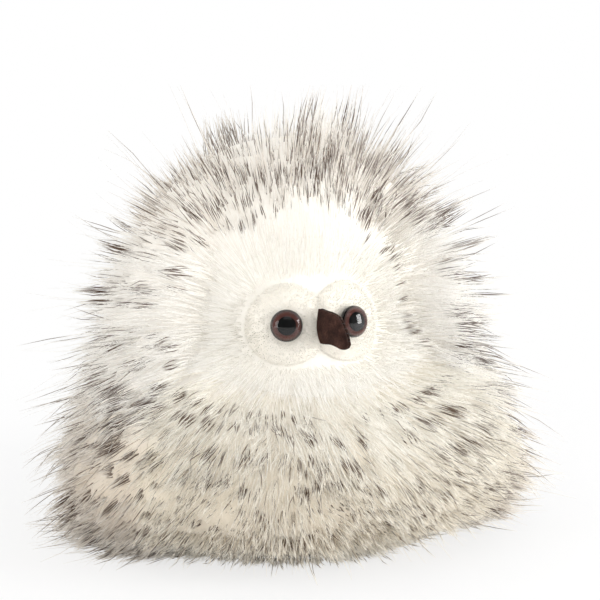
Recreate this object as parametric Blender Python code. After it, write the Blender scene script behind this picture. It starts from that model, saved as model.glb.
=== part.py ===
"""A sitting plush owl, standing on the origin and facing -Y, with its left side towards +X.

The stuffed skin is one smooth body of revolution, narrower from front to back than from side to side.
Seven fur panels cover it, each as thick as its pile. Two safety eyes are clipped through the face on
ribbed posts with lock washers, a sewn beak stands between them, and a pellet pouch weighs down the base.
"""
import math

import bmesh
import bpy
import numpy as np
from mathutils import Matrix, Vector

# Stuffed skin: the largest half width of the body, its height, and its depth as a share of its width.
SKIN_RADIUS = 0.0695
SKIN_HEIGHT = 0.152
DEPTH_SHARE = 0.935

# Outline of the skin from its bottom edge to the crown: share of the radius, share of the height.
SKIN_OUTLINE_SHARES = (
    (0.80, 0.000),
    (0.93, 0.055),
    (1.00, 0.185),
    (0.975, 0.290),
    (0.90, 0.390),
    (0.785, 0.510),
    (0.685, 0.640),
    (0.640, 0.755),
    (0.530, 0.865),
    (0.320, 0.955),
    (0.000, 1.000),
)

# Pile at each point of that outline: share of the pile's length, and its lean above the horizontal. The
# belly's pile is shorter near the floor than the pile at the sides and the back.
PILE_LENGTH = 0.048
SIDE_PILE_SHARES = (
    (0.96, 0.0),
    (0.97, -4.0),
    (0.96, -14.0),
    (0.96, -12.0),
    (0.95, -10.0),
    (0.96, -10.0),
    (1.00, -5.0),
    (0.98, 8.0),
    (1.02, 28.0),
    (1.03, 58.0),
    (1.06, 90.0),
)
FRONT_PILE_SHARES = (
    (0.20, 0.0),
    (0.40, -8.0),
    (0.78, -16.0),
    (0.99, -12.0),
    (0.96, -10.0),
    (0.94, -9.0),
    (0.96, -3.0),
    (0.97, 9.0),
    (1.02, 29.0),
    (1.03, 58.5),
    (1.06, 90.0),
)

# The azimuths between which the front pile turns into the side pile.
PILE_TURN = (math.radians(40.0), math.radians(85.0))

# Clearances: between sewn edges, between pieces that lie on each other, and round the loose fibre.
SEAM_GAP = 0.0004
SEAT_GAP = 0.0003
FILL_GAP = 0.0006

# Panel layout: half the width of the front panels, and where the chin and brow seams run, as a share of
# the way from the floor to the eyes and from the eyes to the crown. Both seams rise or fall at the side.
FRONT_HALF_ANGLE = math.radians(60.0)
CHIN_SHARE = 0.72
CHIN_RISE_SHARE = 0.10
BROW_SHARE = 0.74
BROW_FALL_SHARE = 0.28

# Eyes: half their spacing, their height, the discs of short pile, and the bowl that the fur leaves.
EYE_HALF_SPACING = 0.0148
EYE_HEIGHT = 0.108
EYE_DISC_RADIUS = 0.019
EYE_DISC_THICKNESS = 0.0030
FACE_BACKING = 0.0015
BOWL_RIM_MARGIN = 0.0030
BOWL_SLOPE_WIDTH = 0.0290

# Safety eye: lens, flange with pupil boss, ribbed post and lock washer.
LENS_RADIUS = 0.0075
LENS_HEIGHT = 0.0056
LENS_RIM_HEIGHT = 0.0012
LENS_WALL = 0.0005
FLANGE_THICKNESS = 0.0012
PUPIL_RADIUS = 0.0045
PUPIL_HEIGHT = 0.0011
EYE_FIT = 0.0002
POST_RADIUS = 0.0022
POST_LENGTH = 0.0135
POST_TIP_LENGTH = 0.0016
RIB_COUNT = 7
RIB_PITCH = 0.0012
RIB_DEPTH = 0.00035
WASHER_RADIUS = 0.0055
WASHER_THICKNESS = 0.0009
WASHER_COLLAR_HEIGHT = 0.0008
WASHER_COLLAR_WALL = 0.0009
WASHER_GRIP = 0.00015
WASHER_SLOTS = 6
WASHER_SLOT_DEPTH = 0.0013

# Beak: its base stands on the seam between the eye discs, and its tip leans to the owl's left.
BEAK_LENGTH = 0.0205
BEAK_HALF_HEIGHT = 0.0082
BEAK_BULGE = 0.0014
BEAK_FABRIC = 0.0009
BEAK_LEAN = math.radians(17.0)
BEAK_DROOP = math.radians(8.0)
BEAK_FILLING_INSET_SHARE = 0.16
RIDGE_SHARES = (
    (0.000, 0.800),
    (0.200, 0.810),
    (0.400, 0.840),
    (0.580, 0.830),
    (0.740, 0.700),
    (0.870, 0.320),
    (0.960, -0.100),
    (1.000, -0.450),
)
LOWER_EDGE_SHARES = (
    (0.000, -1.130),
    (0.160, -1.020),
    (0.360, -0.900),
    (0.560, -0.880),
    (0.720, -0.900),
    (0.860, -0.800),
    (0.950, -0.660),
)

# Base: the panel that the owl stands on, the pellet pouch on it, and where the fibre of the body meets
# that of the head, as a share of the eyes' height.
BASE_THICKNESS = 0.0020
BASE_EDGE_ROUND = 0.0006
POUCH_RADIUS = 0.043
POUCH_FABRIC = 0.0010
POUCH_HEIGHT = 0.020
POUCH_SEAM_WIDTH = 0.0040
FILLING_SPLIT_SHARE = 0.788

# Facets: columns round the whole body and across the face, and the rows up each panel.
BODY_COLUMNS = 48
FACE_COLUMNS = 32
FACE_ROWS = 14
BELLY_ROWS = 9
FLANK_ROWS = 9
HEAD_BACK_ROWS = 6
CROWN_ROWS = 6
FILLING_COLUMNS = 24
FILLING_ROWS = 10
EYE_FACETS = 28
DOME_STEPS = 7
POST_FACETS = 16
SLOT_FACETS = 6
DISC_COLUMNS = 24
DISC_RINGS = 3
BEAK_COLUMNS = 10
BEAK_ROWS = 6
OUTLINE_STEPS = 40

WHITE_FUR = (0.89, 0.87, 0.81)
TIPPED_FUR = (0.52, 0.47, 0.43)
BELLY_FUR = (0.78, 0.74, 0.66)
PEACH_PILE = (0.86, 0.78, 0.69)
BEAK_BROWN = (0.033, 0.012, 0.008)
IRIS_BROWN = (0.122, 0.048, 0.040)
EYE_BLACK = (0.008, 0.008, 0.009)
WASHER_WHITE = (0.80, 0.80, 0.78)
FIBRE_WHITE = (0.85, 0.85, 0.84)
BASE_CREAM = (0.74, 0.70, 0.61)
POUCH_COTTON = (0.70, 0.68, 0.62)
PELLET_CLEAR = (0.75, 0.76, 0.76)


def clear_scene():
    """Remove whatever objects the open file holds."""
    for thing in list(bpy.data.objects):
        bpy.data.objects.remove(thing, do_unlink=True)


def principled(name, colour, roughness, metallic=0.0):
    """A material with one Principled shader."""
    material = bpy.data.materials.new(name)
    material.use_nodes = True
    shader = material.node_tree.nodes["Principled BSDF"]
    shader.inputs["Base Color"].default_value = (*colour, 1.0)
    shader.inputs["Roughness"].default_value = roughness
    shader.inputs["Metallic"].default_value = metallic
    material.diffuse_color = (*colour, 1.0)
    return material


def fur(name, colour):
    """Long-pile faux fur: matt, with the pile's average colour."""
    return principled(name, colour, 0.85)


def short_pile():
    """Sheared plush of the eye discs."""
    return principled("sheared_plush", PEACH_PILE, 0.9)


def suedette():
    """Brushed suedette of the beak."""
    return principled("suedette", BEAK_BROWN, 0.8)


def acrylic():
    """Polished acrylic of the lens, brown from the iris painted on its back."""
    return principled("acrylic", IRIS_BROWN, 0.05)


def black_nylon():
    """Moulded black nylon of the flange, pupil and post."""
    return principled("black_nylon", EYE_BLACK, 0.25)


def washer_plastic():
    """Moulded polyethylene of the lock washers."""
    return principled("polyethylene", WASHER_WHITE, 0.4)


def fibre():
    """Polyester fibre."""
    return principled("polyester_fibre", FIBRE_WHITE, 0.95)


def cloth(name, colour):
    """Plain woven cloth."""
    return principled(name, colour, 0.9)


def pellet_plastic():
    """Polypropylene pellets."""
    return principled("pellets", PELLET_CLEAR, 0.35)


def smooth_curve(points, steps):
    """Points of a smooth curve through rows of numbers, with the given steps between two rows."""
    rows = np.array(points, dtype=float)
    before = 2.0 * rows[0] - rows[1]
    after = 2.0 * rows[-1] - rows[-2]
    rows = np.vstack([before, rows, after])
    curve = []
    for first in range(1, len(rows) - 2):
        p0, p1, p2, p3 = rows[first - 1:first + 3]
        for step in range(steps):
            t = step / steps
            bend = (2 * p0 - 5 * p1 + 4 * p2 - p3) * t ** 2 + (3 * p1 - p0 - 3 * p2 + p3) * t ** 3
            curve.append(p1 + 0.5 * ((p2 - p0) * t + bend))
    curve.append(rows[-2])
    return np.array(curve)


def outline_rows():
    """Radius and height of the skin, the side pile and the front pile at each point of the outline."""
    rows = []
    for (radius_share, height_share), *piles in zip(SKIN_OUTLINE_SHARES, SIDE_PILE_SHARES, FRONT_PILE_SHARES):
        radius = SKIN_RADIUS * radius_share
        height = SEAT_GAP + (SKIN_HEIGHT - SEAT_GAP) * height_share
        row = [radius, height]
        for length_share, lean in piles:
            length = PILE_LENGTH * length_share
            row.append(radius + length * math.cos(math.radians(lean)))
            row.append(height + length * math.sin(math.radians(lean)))
        rows.append(row)
    return rows


def outline_table():
    """The outline as a table: share of the way up the skin, then the six columns of outline_rows.

    The outline is mirrored past the crown while it is smoothed, so that the crown comes out round.
    """
    rows = outline_rows()
    mirrored = [[-radius_or_height if column % 2 == 0 else radius_or_height
                 for column, radius_or_height in enumerate(row)] for row in reversed(rows[:-1])]
    curve = smooth_curve(rows + mirrored, OUTLINE_STEPS)
    curve = curve[:(len(rows) - 1) * OUTLINE_STEPS + 1]
    runs = np.hypot(np.diff(curve[:, 0]), np.diff(curve[:, 1]))
    travelled = np.concatenate([[0.0], np.cumsum(runs)])
    return np.column_stack([travelled / travelled[-1], curve]), travelled[-1]


OUTLINE, SKIN_LENGTH = outline_table()


def outline_at(rise):
    """Radius and height of the skin, the side pile and the front pile at a share of the way up the skin."""
    return [float(np.interp(rise, OUTLINE[:, 0], OUTLINE[:, column])) for column in range(1, 7)]


def rise_at_height(height):
    """The share of the way up the skin at which it has this height."""
    return float(np.interp(height, OUTLINE[:, 2], OUTLINE[:, 0]))


def on_oval(radius, azimuth, height):
    """A point on the oval of this half width; azimuth 0 is the front, and it grows to the owl's left."""
    return Vector((radius * math.sin(azimuth), -radius * DEPTH_SHARE * math.cos(azimuth), height))


def skin_point(azimuth, rise):
    """A point on the stuffed skin."""
    radius, height = outline_at(rise)[:2]
    return on_oval(radius, azimuth, height)


def skin_normal(azimuth, rise):
    """The skin's outward direction."""
    step = 0.5 / len(OUTLINE)
    up = skin_point(azimuth, min(rise + step, 1.0)) - skin_point(azimuth, max(rise - step, 0.0))
    along = Vector((math.cos(azimuth), DEPTH_SHARE * math.sin(azimuth), 0.0))
    return along.cross(up).normalized()


EYE_RISE = rise_at_height(EYE_HEIGHT)
EYE_AZIMUTH = math.asin(EYE_HALF_SPACING / outline_at(EYE_RISE)[0])
DISC_TOP = FACE_BACKING + SEAT_GAP + EYE_DISC_THICKNESS
EYE_SPOTS = [skin_point(side * EYE_AZIMUTH, EYE_RISE) for side in (-1, 1)]


def bowl_share(place):
    """How much of its full pile the fur has here: none on the eye discs, all of it past the bowl."""
    right, left = EYE_SPOTS
    along = min(max((place.x - right.x) / (left.x - right.x), 0.0), 1.0)
    distance = (place - right.lerp(left, along)).length
    rim = EYE_DISC_RADIUS + BOWL_RIM_MARGIN
    share = min(max((distance - rim) / BOWL_SLOPE_WIDTH, 0.0), 1.0)
    return share * share * (3.0 - 2.0 * share)


def sideness(azimuth):
    """0 where the pile is the front pile, 1 where it is the side pile, and a soft step between them."""
    first, last = PILE_TURN
    share = min(max((abs(math.remainder(azimuth, math.tau)) - first) / (last - first), 0.0), 1.0)
    return share * share * (3.0 - 2.0 * share)


def pile_point(azimuth, rise):
    """A point on the pile's surface, over the skin point with the same azimuth and rise."""
    skin_radius, skin_height, side_radius, side_height, front_radius, front_height = outline_at(rise)
    root = on_oval(skin_radius, azimuth, skin_height)
    side = on_oval(side_radius, azimuth, side_height)
    front = on_oval(front_radius, azimuth, front_height)
    pile = front.lerp(side, sideness(azimuth)) - root
    share = bowl_share(root)
    depth = FACE_BACKING + (pile.length - FACE_BACKING) * share
    return root + pile.normalized() * depth


def add_object(name, bm, material, smooth=True, parent=None):
    """Turn a bmesh into a named object with its material."""
    bmesh.ops.recalc_face_normals(bm, faces=bm.faces[:])
    mesh = bpy.data.meshes.new(name)
    bm.to_mesh(mesh)
    bm.free()
    if smooth:
        mesh.shade_smooth()
        mesh.set_sharp_from_angle(angle=math.radians(40.0))
    thing = bpy.data.objects.new(name, mesh)
    thing.data.materials.append(material)
    thing.parent = parent
    bpy.context.scene.collection.objects.link(thing)
    return thing


def bent_slab(columns, rows, place, closed=False, pole=False):
    """A unit slab bent into place: place takes shares across, up and through it, and gives a point.

    A closed slab runs once round and meets itself, and one with a pole closes to a point at the top.
    """
    bm = bmesh.new()
    bmesh.ops.create_grid(bm, x_segments=columns, y_segments=rows, size=1.0)
    for vert in bm.verts:
        vert.co = Vector(((vert.co.x + 1.0) / 2.0, (vert.co.y + 1.0) / 2.0, 0.0))
    raised = bmesh.ops.extrude_face_region(bm, geom=bm.faces[:], use_keep_orig=True)["geom"]
    bmesh.ops.translate(bm, verts=[e for e in raised if isinstance(e, bmesh.types.BMVert)], vec=(0, 0, 1))
    bmesh.ops.delete(bm, geom=joined_walls(bm, closed, pole), context="FACES_ONLY")
    for vert in bm.verts:
        vert.co = place(*vert.co)
    bmesh.ops.remove_doubles(bm, verts=bm.verts[:], dist=SEAM_GAP / 10.0)
    return bm


def joined_walls(bm, closed, pole):
    """The side walls of a unit slab that vanish where the slab meets itself."""
    walls = []
    for face in bm.faces:
        across = {round(vert.co.x, 4) for vert in face.verts}
        up = {round(vert.co.y, 4) for vert in face.verts}
        if closed and len(across) == 1 and across <= {0.0, 1.0}:
            walls.append(face)
        if pole and up == {1.0}:
            walls.append(face)
    return walls


def turned(profile, facets, squash=1.0):
    """A profile of (radius, height) points turned round +Z; one that starts on the axis is closed there."""
    bm = bmesh.new()
    verts = [bm.verts.new((0.0, -radius, height)) for radius, height in profile]
    for first, second in zip(verts, verts[1:]):
        bm.edges.new((first, second))
    if profile[0][0] > 0.0:
        bm.edges.new((verts[-1], verts[0]))
    bmesh.ops.spin(bm, geom=bm.verts[:] + bm.edges[:], axis=(0, 0, 1), cent=(0, 0, 0),
                   angle=math.tau, steps=facets, use_merge=True)
    bmesh.ops.remove_doubles(bm, verts=bm.verts[:], dist=SEAM_GAP / 10.0)
    bmesh.ops.scale(bm, verts=bm.verts[:], vec=(1.0, squash, 1.0))
    return bm


def cut(thing, cutter):
    """Cut a hidden cutter out of an object."""
    cutter.hide_render = True
    cutter.display_type = "WIRE"
    modifier = thing.modifiers.new("cut_" + cutter.name, "BOOLEAN")
    modifier.operation = "DIFFERENCE"
    modifier.solver = "EXACT"
    modifier.object = cutter


def chin_rise(azimuth):
    """Where the chin seam runs, as a share of the way up the skin."""
    side = min(abs(azimuth) / FRONT_HALF_ANGLE, 1.0) ** 2
    return rise_at_height(EYE_HEIGHT * (CHIN_SHARE + CHIN_RISE_SHARE * side))


def brow_rise(azimuth):
    """Where the brow seam, and the edge of the crown behind it, runs."""
    side = min(abs(azimuth) / FRONT_HALF_ANGLE, 1.0) ** 2
    share = BROW_SHARE - BROW_FALL_SHARE * side
    return rise_at_height(EYE_HEIGHT + (SKIN_HEIGHT - EYE_HEIGHT) * share)


def bottom_rise(azimuth):
    """Where the body panels end at the floor."""
    return 0.0


def make_panel(name, span, edges, facets, material):
    """A fur panel between two azimuths and two seams, from the skin out to the end of its pile."""
    low_seam, high_seam = edges
    seam_rise = SEAM_GAP / 2.0 / SKIN_LENGTH

    def place(across, up, through):
        azimuth = span[0] + (span[1] - span[0]) * across
        low = low_seam(azimuth)
        low += seam_rise if low > 0.0 else 0.0
        high = high_seam(azimuth) - seam_rise
        rise = low + (high - low) * up
        inset = SEAM_GAP / 2.0 / outline_at(rise)[0] / DEPTH_SHARE * (1.0 - 2.0 * across)
        return skin_point(azimuth + inset, rise).lerp(pile_point(azimuth + inset, rise), through)

    return add_object(name, bent_slab(facets[0], facets[1], place), material)


def make_crown(material):
    """The fur cap on top of the head, closed at the crown."""
    seam_rise = SEAM_GAP / 2.0 / SKIN_LENGTH

    def place(across, up, through):
        azimuth = math.tau * across - math.pi
        low = brow_rise(azimuth) + seam_rise
        rise = low + (1.0 - low) * up
        return skin_point(azimuth, rise).lerp(pile_point(azimuth, rise), through)

    bm = bent_slab(BODY_COLUMNS, CROWN_ROWS, place, closed=True, pole=True)
    return add_object("crown_panel", bm, material)


def make_fur_panels():
    """The seven sewn fur panels, with the post holes of the eyes cut through the face."""
    white = fur("white_fur", WHITE_FUR)
    tipped = fur("dark_tipped_fur", TIPPED_FUR)
    belly = fur("belly_fur", BELLY_FUR)
    front = (-FRONT_HALF_ANGLE, FRONT_HALF_ANGLE)
    left = (FRONT_HALF_ANGLE, math.pi)
    right = (-math.pi, -FRONT_HALF_ANGLE)
    columns = BODY_COLUMNS // 3
    face = make_panel("face_panel", front, (chin_rise, brow_rise), (FACE_COLUMNS, FACE_ROWS), white)
    make_panel("belly_panel", front, (bottom_rise, chin_rise), (columns, BELLY_ROWS), belly)
    for side, span in (("left", left), ("right", right)):
        make_panel("body_" + side, span, (bottom_rise, chin_rise), (columns, FLANK_ROWS), tipped)
        make_panel("head_back_" + side, span, (chin_rise, brow_rise), (columns, HEAD_BACK_ROWS), tipped)
    make_crown(tipped)
    return face


def disc_reach(angle):
    """How far an eye disc reaches from its post in this direction: its radius, or the middle seam.

    The angle is measured from the direction of the other eye.
    """
    towards_seam = math.cos(angle)
    to_seam = outline_at(EYE_RISE)[0] * EYE_AZIMUTH - SEAM_GAP / 2.0
    if towards_seam * EYE_DISC_RADIUS < to_seam:
        return EYE_DISC_RADIUS
    return to_seam / towards_seam


def make_eye_disc(name, side, material):
    """A disc of sheared plush, laid on the face round one eye and cut straight at the middle seam."""
    hole = POST_RADIUS + SEAT_GAP

    def place(around, out, through):
        angle = math.tau * around
        reach = hole + (disc_reach(angle) - hole) * out
        width = outline_at(EYE_RISE)[0]
        azimuth = side * (EYE_AZIMUTH - reach * math.cos(angle) / width)
        rise = EYE_RISE + reach * math.sin(angle) / SKIN_LENGTH
        height = FACE_BACKING + SEAT_GAP + EYE_DISC_THICKNESS * through
        return skin_point(azimuth, rise) + skin_normal(azimuth, rise) * height

    bm = bent_slab(DISC_COLUMNS, DISC_RINGS, place, closed=True)
    return add_object(name, bm, material)


def eye_frame(side):
    """An empty on one eye's axis: its origin lies on the disc, and its +Z points out of the head."""
    azimuth = side * EYE_AZIMUTH
    normal = skin_normal(azimuth, EYE_RISE)
    across = Vector((0.0, 0.0, 1.0)).cross(normal).normalized()
    axes = Matrix((across, normal.cross(across), normal)).transposed().to_4x4()
    frame = bpy.data.objects.new("eye_axis_left" if side > 0 else "eye_axis_right", None)
    frame.empty_display_size = LENS_RADIUS
    frame.matrix_world = Matrix.Translation(skin_point(azimuth, EYE_RISE) + normal * DISC_TOP) @ axes
    bpy.context.scene.collection.objects.link(frame)
    return frame


def make_lens(name, frame, material):
    """The dome: a short upright rim and a round crown, hollow behind for the flange and the pupil."""
    back = SEAT_GAP
    rim = back + LENS_RIM_HEIGHT
    rise = LENS_HEIGHT - LENS_RIM_HEIGHT
    profile = []
    for step in range(DOME_STEPS + 1):
        angle = math.radians(90.0) * step / DOME_STEPS
        profile.append((LENS_RADIUS * math.sin(angle), rim + rise * math.cos(angle)))
    flange_top = back + FLANGE_THICKNESS + EYE_FIT
    pupil_top = back + FLANGE_THICKNESS + PUPIL_HEIGHT + EYE_FIT
    profile += [
        (LENS_RADIUS, back),
        (LENS_RADIUS - LENS_WALL, back),
        (LENS_RADIUS - LENS_WALL, flange_top),
        (PUPIL_RADIUS + EYE_FIT, flange_top),
        (PUPIL_RADIUS + EYE_FIT, pupil_top),
        (0.0, pupil_top),
    ]
    return add_object(name, turned(profile, EYE_FACETS), material, parent=frame)


def post_profile():
    """The flange, pupil boss and ribbed post, from the pupil's face down to the post's tip."""
    back = SEAT_GAP
    flange_radius = LENS_RADIUS - LENS_WALL - EYE_FIT
    profile = [
        (0.0, back + FLANGE_THICKNESS + PUPIL_HEIGHT),
        (PUPIL_RADIUS, back + FLANGE_THICKNESS + PUPIL_HEIGHT),
        (PUPIL_RADIUS, back + FLANGE_THICKNESS),
        (flange_radius, back + FLANGE_THICKNESS),
        (flange_radius, back),
        (POST_RADIUS - RIB_DEPTH, back),
    ]
    ribs_end = -(POST_LENGTH - POST_TIP_LENGTH)
    first_rib = ribs_end + RIB_COUNT * RIB_PITCH
    for rib in range(RIB_COUNT):
        top = first_rib - rib * RIB_PITCH
        profile.append((POST_RADIUS - RIB_DEPTH, top))
        profile.append((POST_RADIUS, top - RIB_DEPTH / 2.0))
    profile.append((POST_RADIUS - RIB_DEPTH, ribs_end))
    profile.append(((POST_RADIUS - RIB_DEPTH) / 2.0, -POST_LENGTH))
    profile.append((0.0, -POST_LENGTH))
    return profile


def washer_front():
    """Where the washer's face lies on the eye's axis: clear of the face fabric that curves in to it."""
    bend = WASHER_RADIUS ** 2 / (2.0 * outline_at(EYE_RISE)[0] * DEPTH_SHARE ** 2)
    return -DISC_TOP - bend - SEAT_GAP


def make_washer(name, frame, material):
    """The lock washer: a disc with a collar, whose slotted hole leaves six fingers on the post."""
    hole = POST_RADIUS + WASHER_GRIP
    front = washer_front()
    columns = WASHER_SLOTS * SLOT_FACETS

    def reach(around):
        in_slot = round(around * columns) % SLOT_FACETS >= SLOT_FACETS - 2
        return hole + (WASHER_SLOT_DEPTH if in_slot else 0.0)

    def place(around, out, through):
        angle = math.tau * around
        collar = hole + WASHER_SLOT_DEPTH + WASHER_COLLAR_WALL
        radii = (reach(around), collar, collar, WASHER_RADIUS)
        backs = (WASHER_THICKNESS + WASHER_COLLAR_HEIGHT,) * 2 + (WASHER_THICKNESS,) * 2
        ring = round(out * 3)
        radius = radii[ring] + (EYE_FIT if ring == 2 else 0.0)
        height = front - backs[ring] * through
        return Vector((radius * math.cos(angle), radius * math.sin(angle), height))

    bm = bent_slab(columns, 3, place, closed=True)
    return add_object(name, bm, material, smooth=False, parent=frame)


def make_eyes():
    """Both safety eyes, each on an empty on its own axis."""
    plush = short_pile()
    lens = acrylic()
    nylon = black_nylon()
    plastic = washer_plastic()
    frames = []
    for name, side in (("right", -1), ("left", 1)):
        frame = eye_frame(side)
        make_eye_disc("eye_disc_" + name, side, plush)
        make_lens("eye_lens_" + name, frame, lens)
        add_object("eye_post_" + name, turned(post_profile(), POST_FACETS), nylon, parent=frame)
        make_washer("eye_washer_" + name, frame, plastic)
        frames.append(frame)
    return frames


def beak_point(out, up, side):
    """A point of the beak: out along its leaning axis, up the face seam, and sideways from its middle."""
    base_rise = EYE_RISE + up / SKIN_LENGTH
    base = skin_point(0.0, base_rise) + skin_normal(0.0, base_rise) * (DISC_TOP + SEAT_GAP)
    axis = Vector((math.sin(BEAK_LEAN), -math.cos(BEAK_LEAN), 0.0))
    axis = (axis * math.cos(BEAK_DROOP)) - Vector((0.0, 0.0, math.sin(BEAK_DROOP)))
    sideways = Vector((1.0, 0.0, 0.0)).lerp(axis.cross(Vector((0.0, 0.0, -1.0))).normalized(),
                                            min(out / BEAK_LENGTH, 1.0))
    return base + axis * out + sideways * side


def beak_edge(shares, across):
    """A point on the beak's ridge or lower edge, as lengths out and up."""
    curve = smooth_curve(shares, BEAK_COLUMNS)
    along = across * (len(curve) - 1)
    out_share, up_share = [float(np.interp(along, range(len(curve)), curve[:, axis])) for axis in (0, 1)]
    return BEAK_LENGTH * out_share, BEAK_HALF_HEIGHT * up_share


def beak_place(across, up):
    """The beak's side view: lengths out and up, from its base to its tip and from edge to ridge."""
    low = beak_edge(LOWER_EDGE_SHARES, across)
    high = beak_edge(RIDGE_SHARES, across)
    return low[0] + (high[0] - low[0]) * up, low[1] + (high[1] - low[1]) * up


def beak_half_width(across, up):
    """How far the wadding pushes the side of the beak out from its middle."""
    swell = math.sin(math.pi * up) * (1.0 - across ** 3)
    return SEAM_GAP / 2.0 + BEAK_FABRIC + BEAK_BULGE * swell


def make_beak_panel(name, side, material):
    """One side of the beak, sewn to the other along the ridge and the lower edge."""

    def place(across, up, through):
        out, height = beak_place(across, up)
        width = beak_half_width(across, up) - BEAK_FABRIC * (1.0 - through)
        return beak_point(out, height, side * width)

    return add_object(name, bent_slab(BEAK_COLUMNS, BEAK_ROWS, place), material)


def make_beak_filling(material):
    """The wadding between the two sides of the beak."""
    inset = BEAK_FILLING_INSET_SHARE

    def place(across, up, through):
        across *= 1.0 - inset
        up = inset + (1.0 - 2.0 * inset) * up
        out, height = beak_place(across, up)
        width = beak_half_width(across, up) - BEAK_FABRIC - SEAT_GAP
        return beak_point(out, height, width * (2.0 * through - 1.0))

    return add_object("beak_filling", bent_slab(BEAK_COLUMNS - 3, BEAK_ROWS - 2, place), material)


def make_beak():
    """The sewn beak and its wadding."""
    suede = suedette()
    make_beak_panel("beak_left_panel", 1, suede)
    make_beak_panel("beak_right_panel", -1, suede)
    make_beak_filling(fibre())


def make_base():
    """The flat panel under the owl, which it stands on."""
    radius = SKIN_RADIUS * SKIN_OUTLINE_SHARES[0][0] - SEAM_GAP
    profile = [
        (0.0, 0.0),
        (radius - BASE_EDGE_ROUND, 0.0),
        (radius, BASE_EDGE_ROUND),
        (radius, BASE_THICKNESS),
        (0.0, BASE_THICKNESS),
    ]
    bm = turned(profile, BODY_COLUMNS, squash=DEPTH_SHARE)
    add_object("base_panel", bm, cloth("base_cloth", BASE_CREAM))


def dome_profile(radius, foot, height):
    """A low dome from its rim up to its top: radius and height at each step."""
    profile = []
    for step in range(DOME_STEPS + 1):
        angle = math.radians(90.0) * step / DOME_STEPS
        profile.append((radius * math.cos(angle), foot + height * math.sin(angle)))
    return profile


def make_pouch():
    """The pellet pouch: a flat cloth disc, a domed one sewn over it, and the pellets between them."""
    cotton = cloth("pouch_cotton", POUCH_COTTON)
    floor = BASE_THICKNESS + SEAT_GAP
    seam = floor + POUCH_FABRIC + SEAM_GAP
    inner = POUCH_RADIUS - POUCH_SEAM_WIDTH
    rim = [(POUCH_RADIUS, seam + POUCH_FABRIC), (POUCH_RADIUS, seam)]
    bottom = [(0.0, floor), (POUCH_RADIUS, floor), (POUCH_RADIUS, floor + POUCH_FABRIC),
              (0.0, floor + POUCH_FABRIC)]
    over = dome_profile(inner, seam + POUCH_FABRIC, POUCH_HEIGHT)
    under = dome_profile(inner - POUCH_FABRIC, seam, POUCH_HEIGHT)
    heap = dome_profile(inner - POUCH_FABRIC - SEAT_GAP, seam, POUCH_HEIGHT - SEAT_GAP)
    top = over[::-1] + rim + under
    pellets = [(0.0, seam)] + heap
    for name, profile, material in (("pouch_bottom", bottom, cotton), ("pouch_top", top, cotton),
                                    ("pellets", pellets, pellet_plastic())):
        add_object(name, turned(profile, FILLING_COLUMNS, squash=DEPTH_SHARE), material)


def filling_outline(low, high, steps):
    """The skin's outline between two shares of the way up, drawn in by the fibre's clearance."""
    rises = [low + (high - low) * step / steps for step in range(steps + 1)]
    skin = np.array([outline_at(rise)[:2] for rise in rises])
    runs = np.gradient(skin, axis=0)
    runs /= np.linalg.norm(runs, axis=1)[:, None]
    drawn_in = skin + FILL_GAP * np.column_stack([-runs[:, 1], runs[:, 0]])
    return [(max(float(radius), 0.0), float(height)) for radius, height in drawn_in]


def make_fillings(frames):
    """The fibre in the body, hollow below for the pouch, and in the head, with a pocket at each eye."""
    wadding = fibre()
    foot = BASE_THICKNESS + SEAT_GAP
    neck = rise_at_height(EYE_HEIGHT * FILLING_SPLIT_SHARE)
    seam_top = foot + 2.0 * POUCH_FABRIC + SEAM_GAP + SEAT_GAP
    over_pouch = dome_profile(POUCH_RADIUS - POUCH_SEAM_WIDTH + SEAT_GAP, seam_top, POUCH_HEIGHT)
    body = filling_outline(rise_at_height(foot), neck, FILLING_ROWS)
    neck_height = body[-1][1]
    round_pouch = [(POUCH_RADIUS + SEAT_GAP, foot), (POUCH_RADIUS + SEAT_GAP, seam_top)]
    body = [(0.0, neck_height)] + body[::-1] + round_pouch + over_pouch
    body[-1] = (0.0, body[-1][1])
    add_object("body_filling", turned(body, FILLING_COLUMNS, squash=DEPTH_SHARE), wadding)
    head = filling_outline(neck + FILL_GAP / SKIN_LENGTH, 1.0, FILLING_ROWS)
    head = [(0.0, head[0][1])] + head[:-1] + [(0.0, head[-1][1])]
    filling = add_object("head_filling", turned(head, FILLING_COLUMNS, squash=DEPTH_SHARE), wadding)
    for frame in frames:
        cut(filling, make_pocket(frame))


def make_pocket(frame):
    """A cutter for the hollow that the washer and the post press into the fibre."""
    washer_back = washer_front() - WASHER_THICKNESS - WASHER_COLLAR_HEIGHT - SEAT_GAP
    profile = [
        (0.0, 0.0),
        (WASHER_RADIUS + SEAT_GAP, 0.0),
        (WASHER_RADIUS + SEAT_GAP, washer_back),
        (POST_RADIUS + SEAT_GAP, washer_back),
        (POST_RADIUS + SEAT_GAP, -POST_LENGTH - SEAT_GAP),
        (0.0, -POST_LENGTH - SEAT_GAP),
    ]
    return add_object("pocket_" + frame.name, turned(profile, POST_FACETS), fibre(), parent=frame)


def make_post_hole(frame):
    """A cutter for the hole that an eye's post passes through."""
    hole = POST_RADIUS + SEAT_GAP
    profile = [(0.0, 0.0), (hole, 0.0), (hole, -POST_LENGTH), (0.0, -POST_LENGTH)]
    return add_object("hole_" + frame.name, turned(profile, POST_FACETS), fibre(), parent=frame)


def main():
    """Build the owl."""
    clear_scene()
    face = make_fur_panels()
    frames = make_eyes()
    for frame in frames:
        cut(face, make_post_hole(frame))
    make_beak()
    make_base()
    make_pouch()
    make_fillings(frames)


main()
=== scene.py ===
# %% [markdown]
# # A plush owl in long faux fur
#
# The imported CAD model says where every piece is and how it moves. This script dresses it: long tipped pile
# on seven panels, two clear safety eyes, sheared discs round them and a suedette beak.
# All lengths are in metres. The owl stands on the origin and faces -Y, and its left side is towards +X.

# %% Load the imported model
import math

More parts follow.
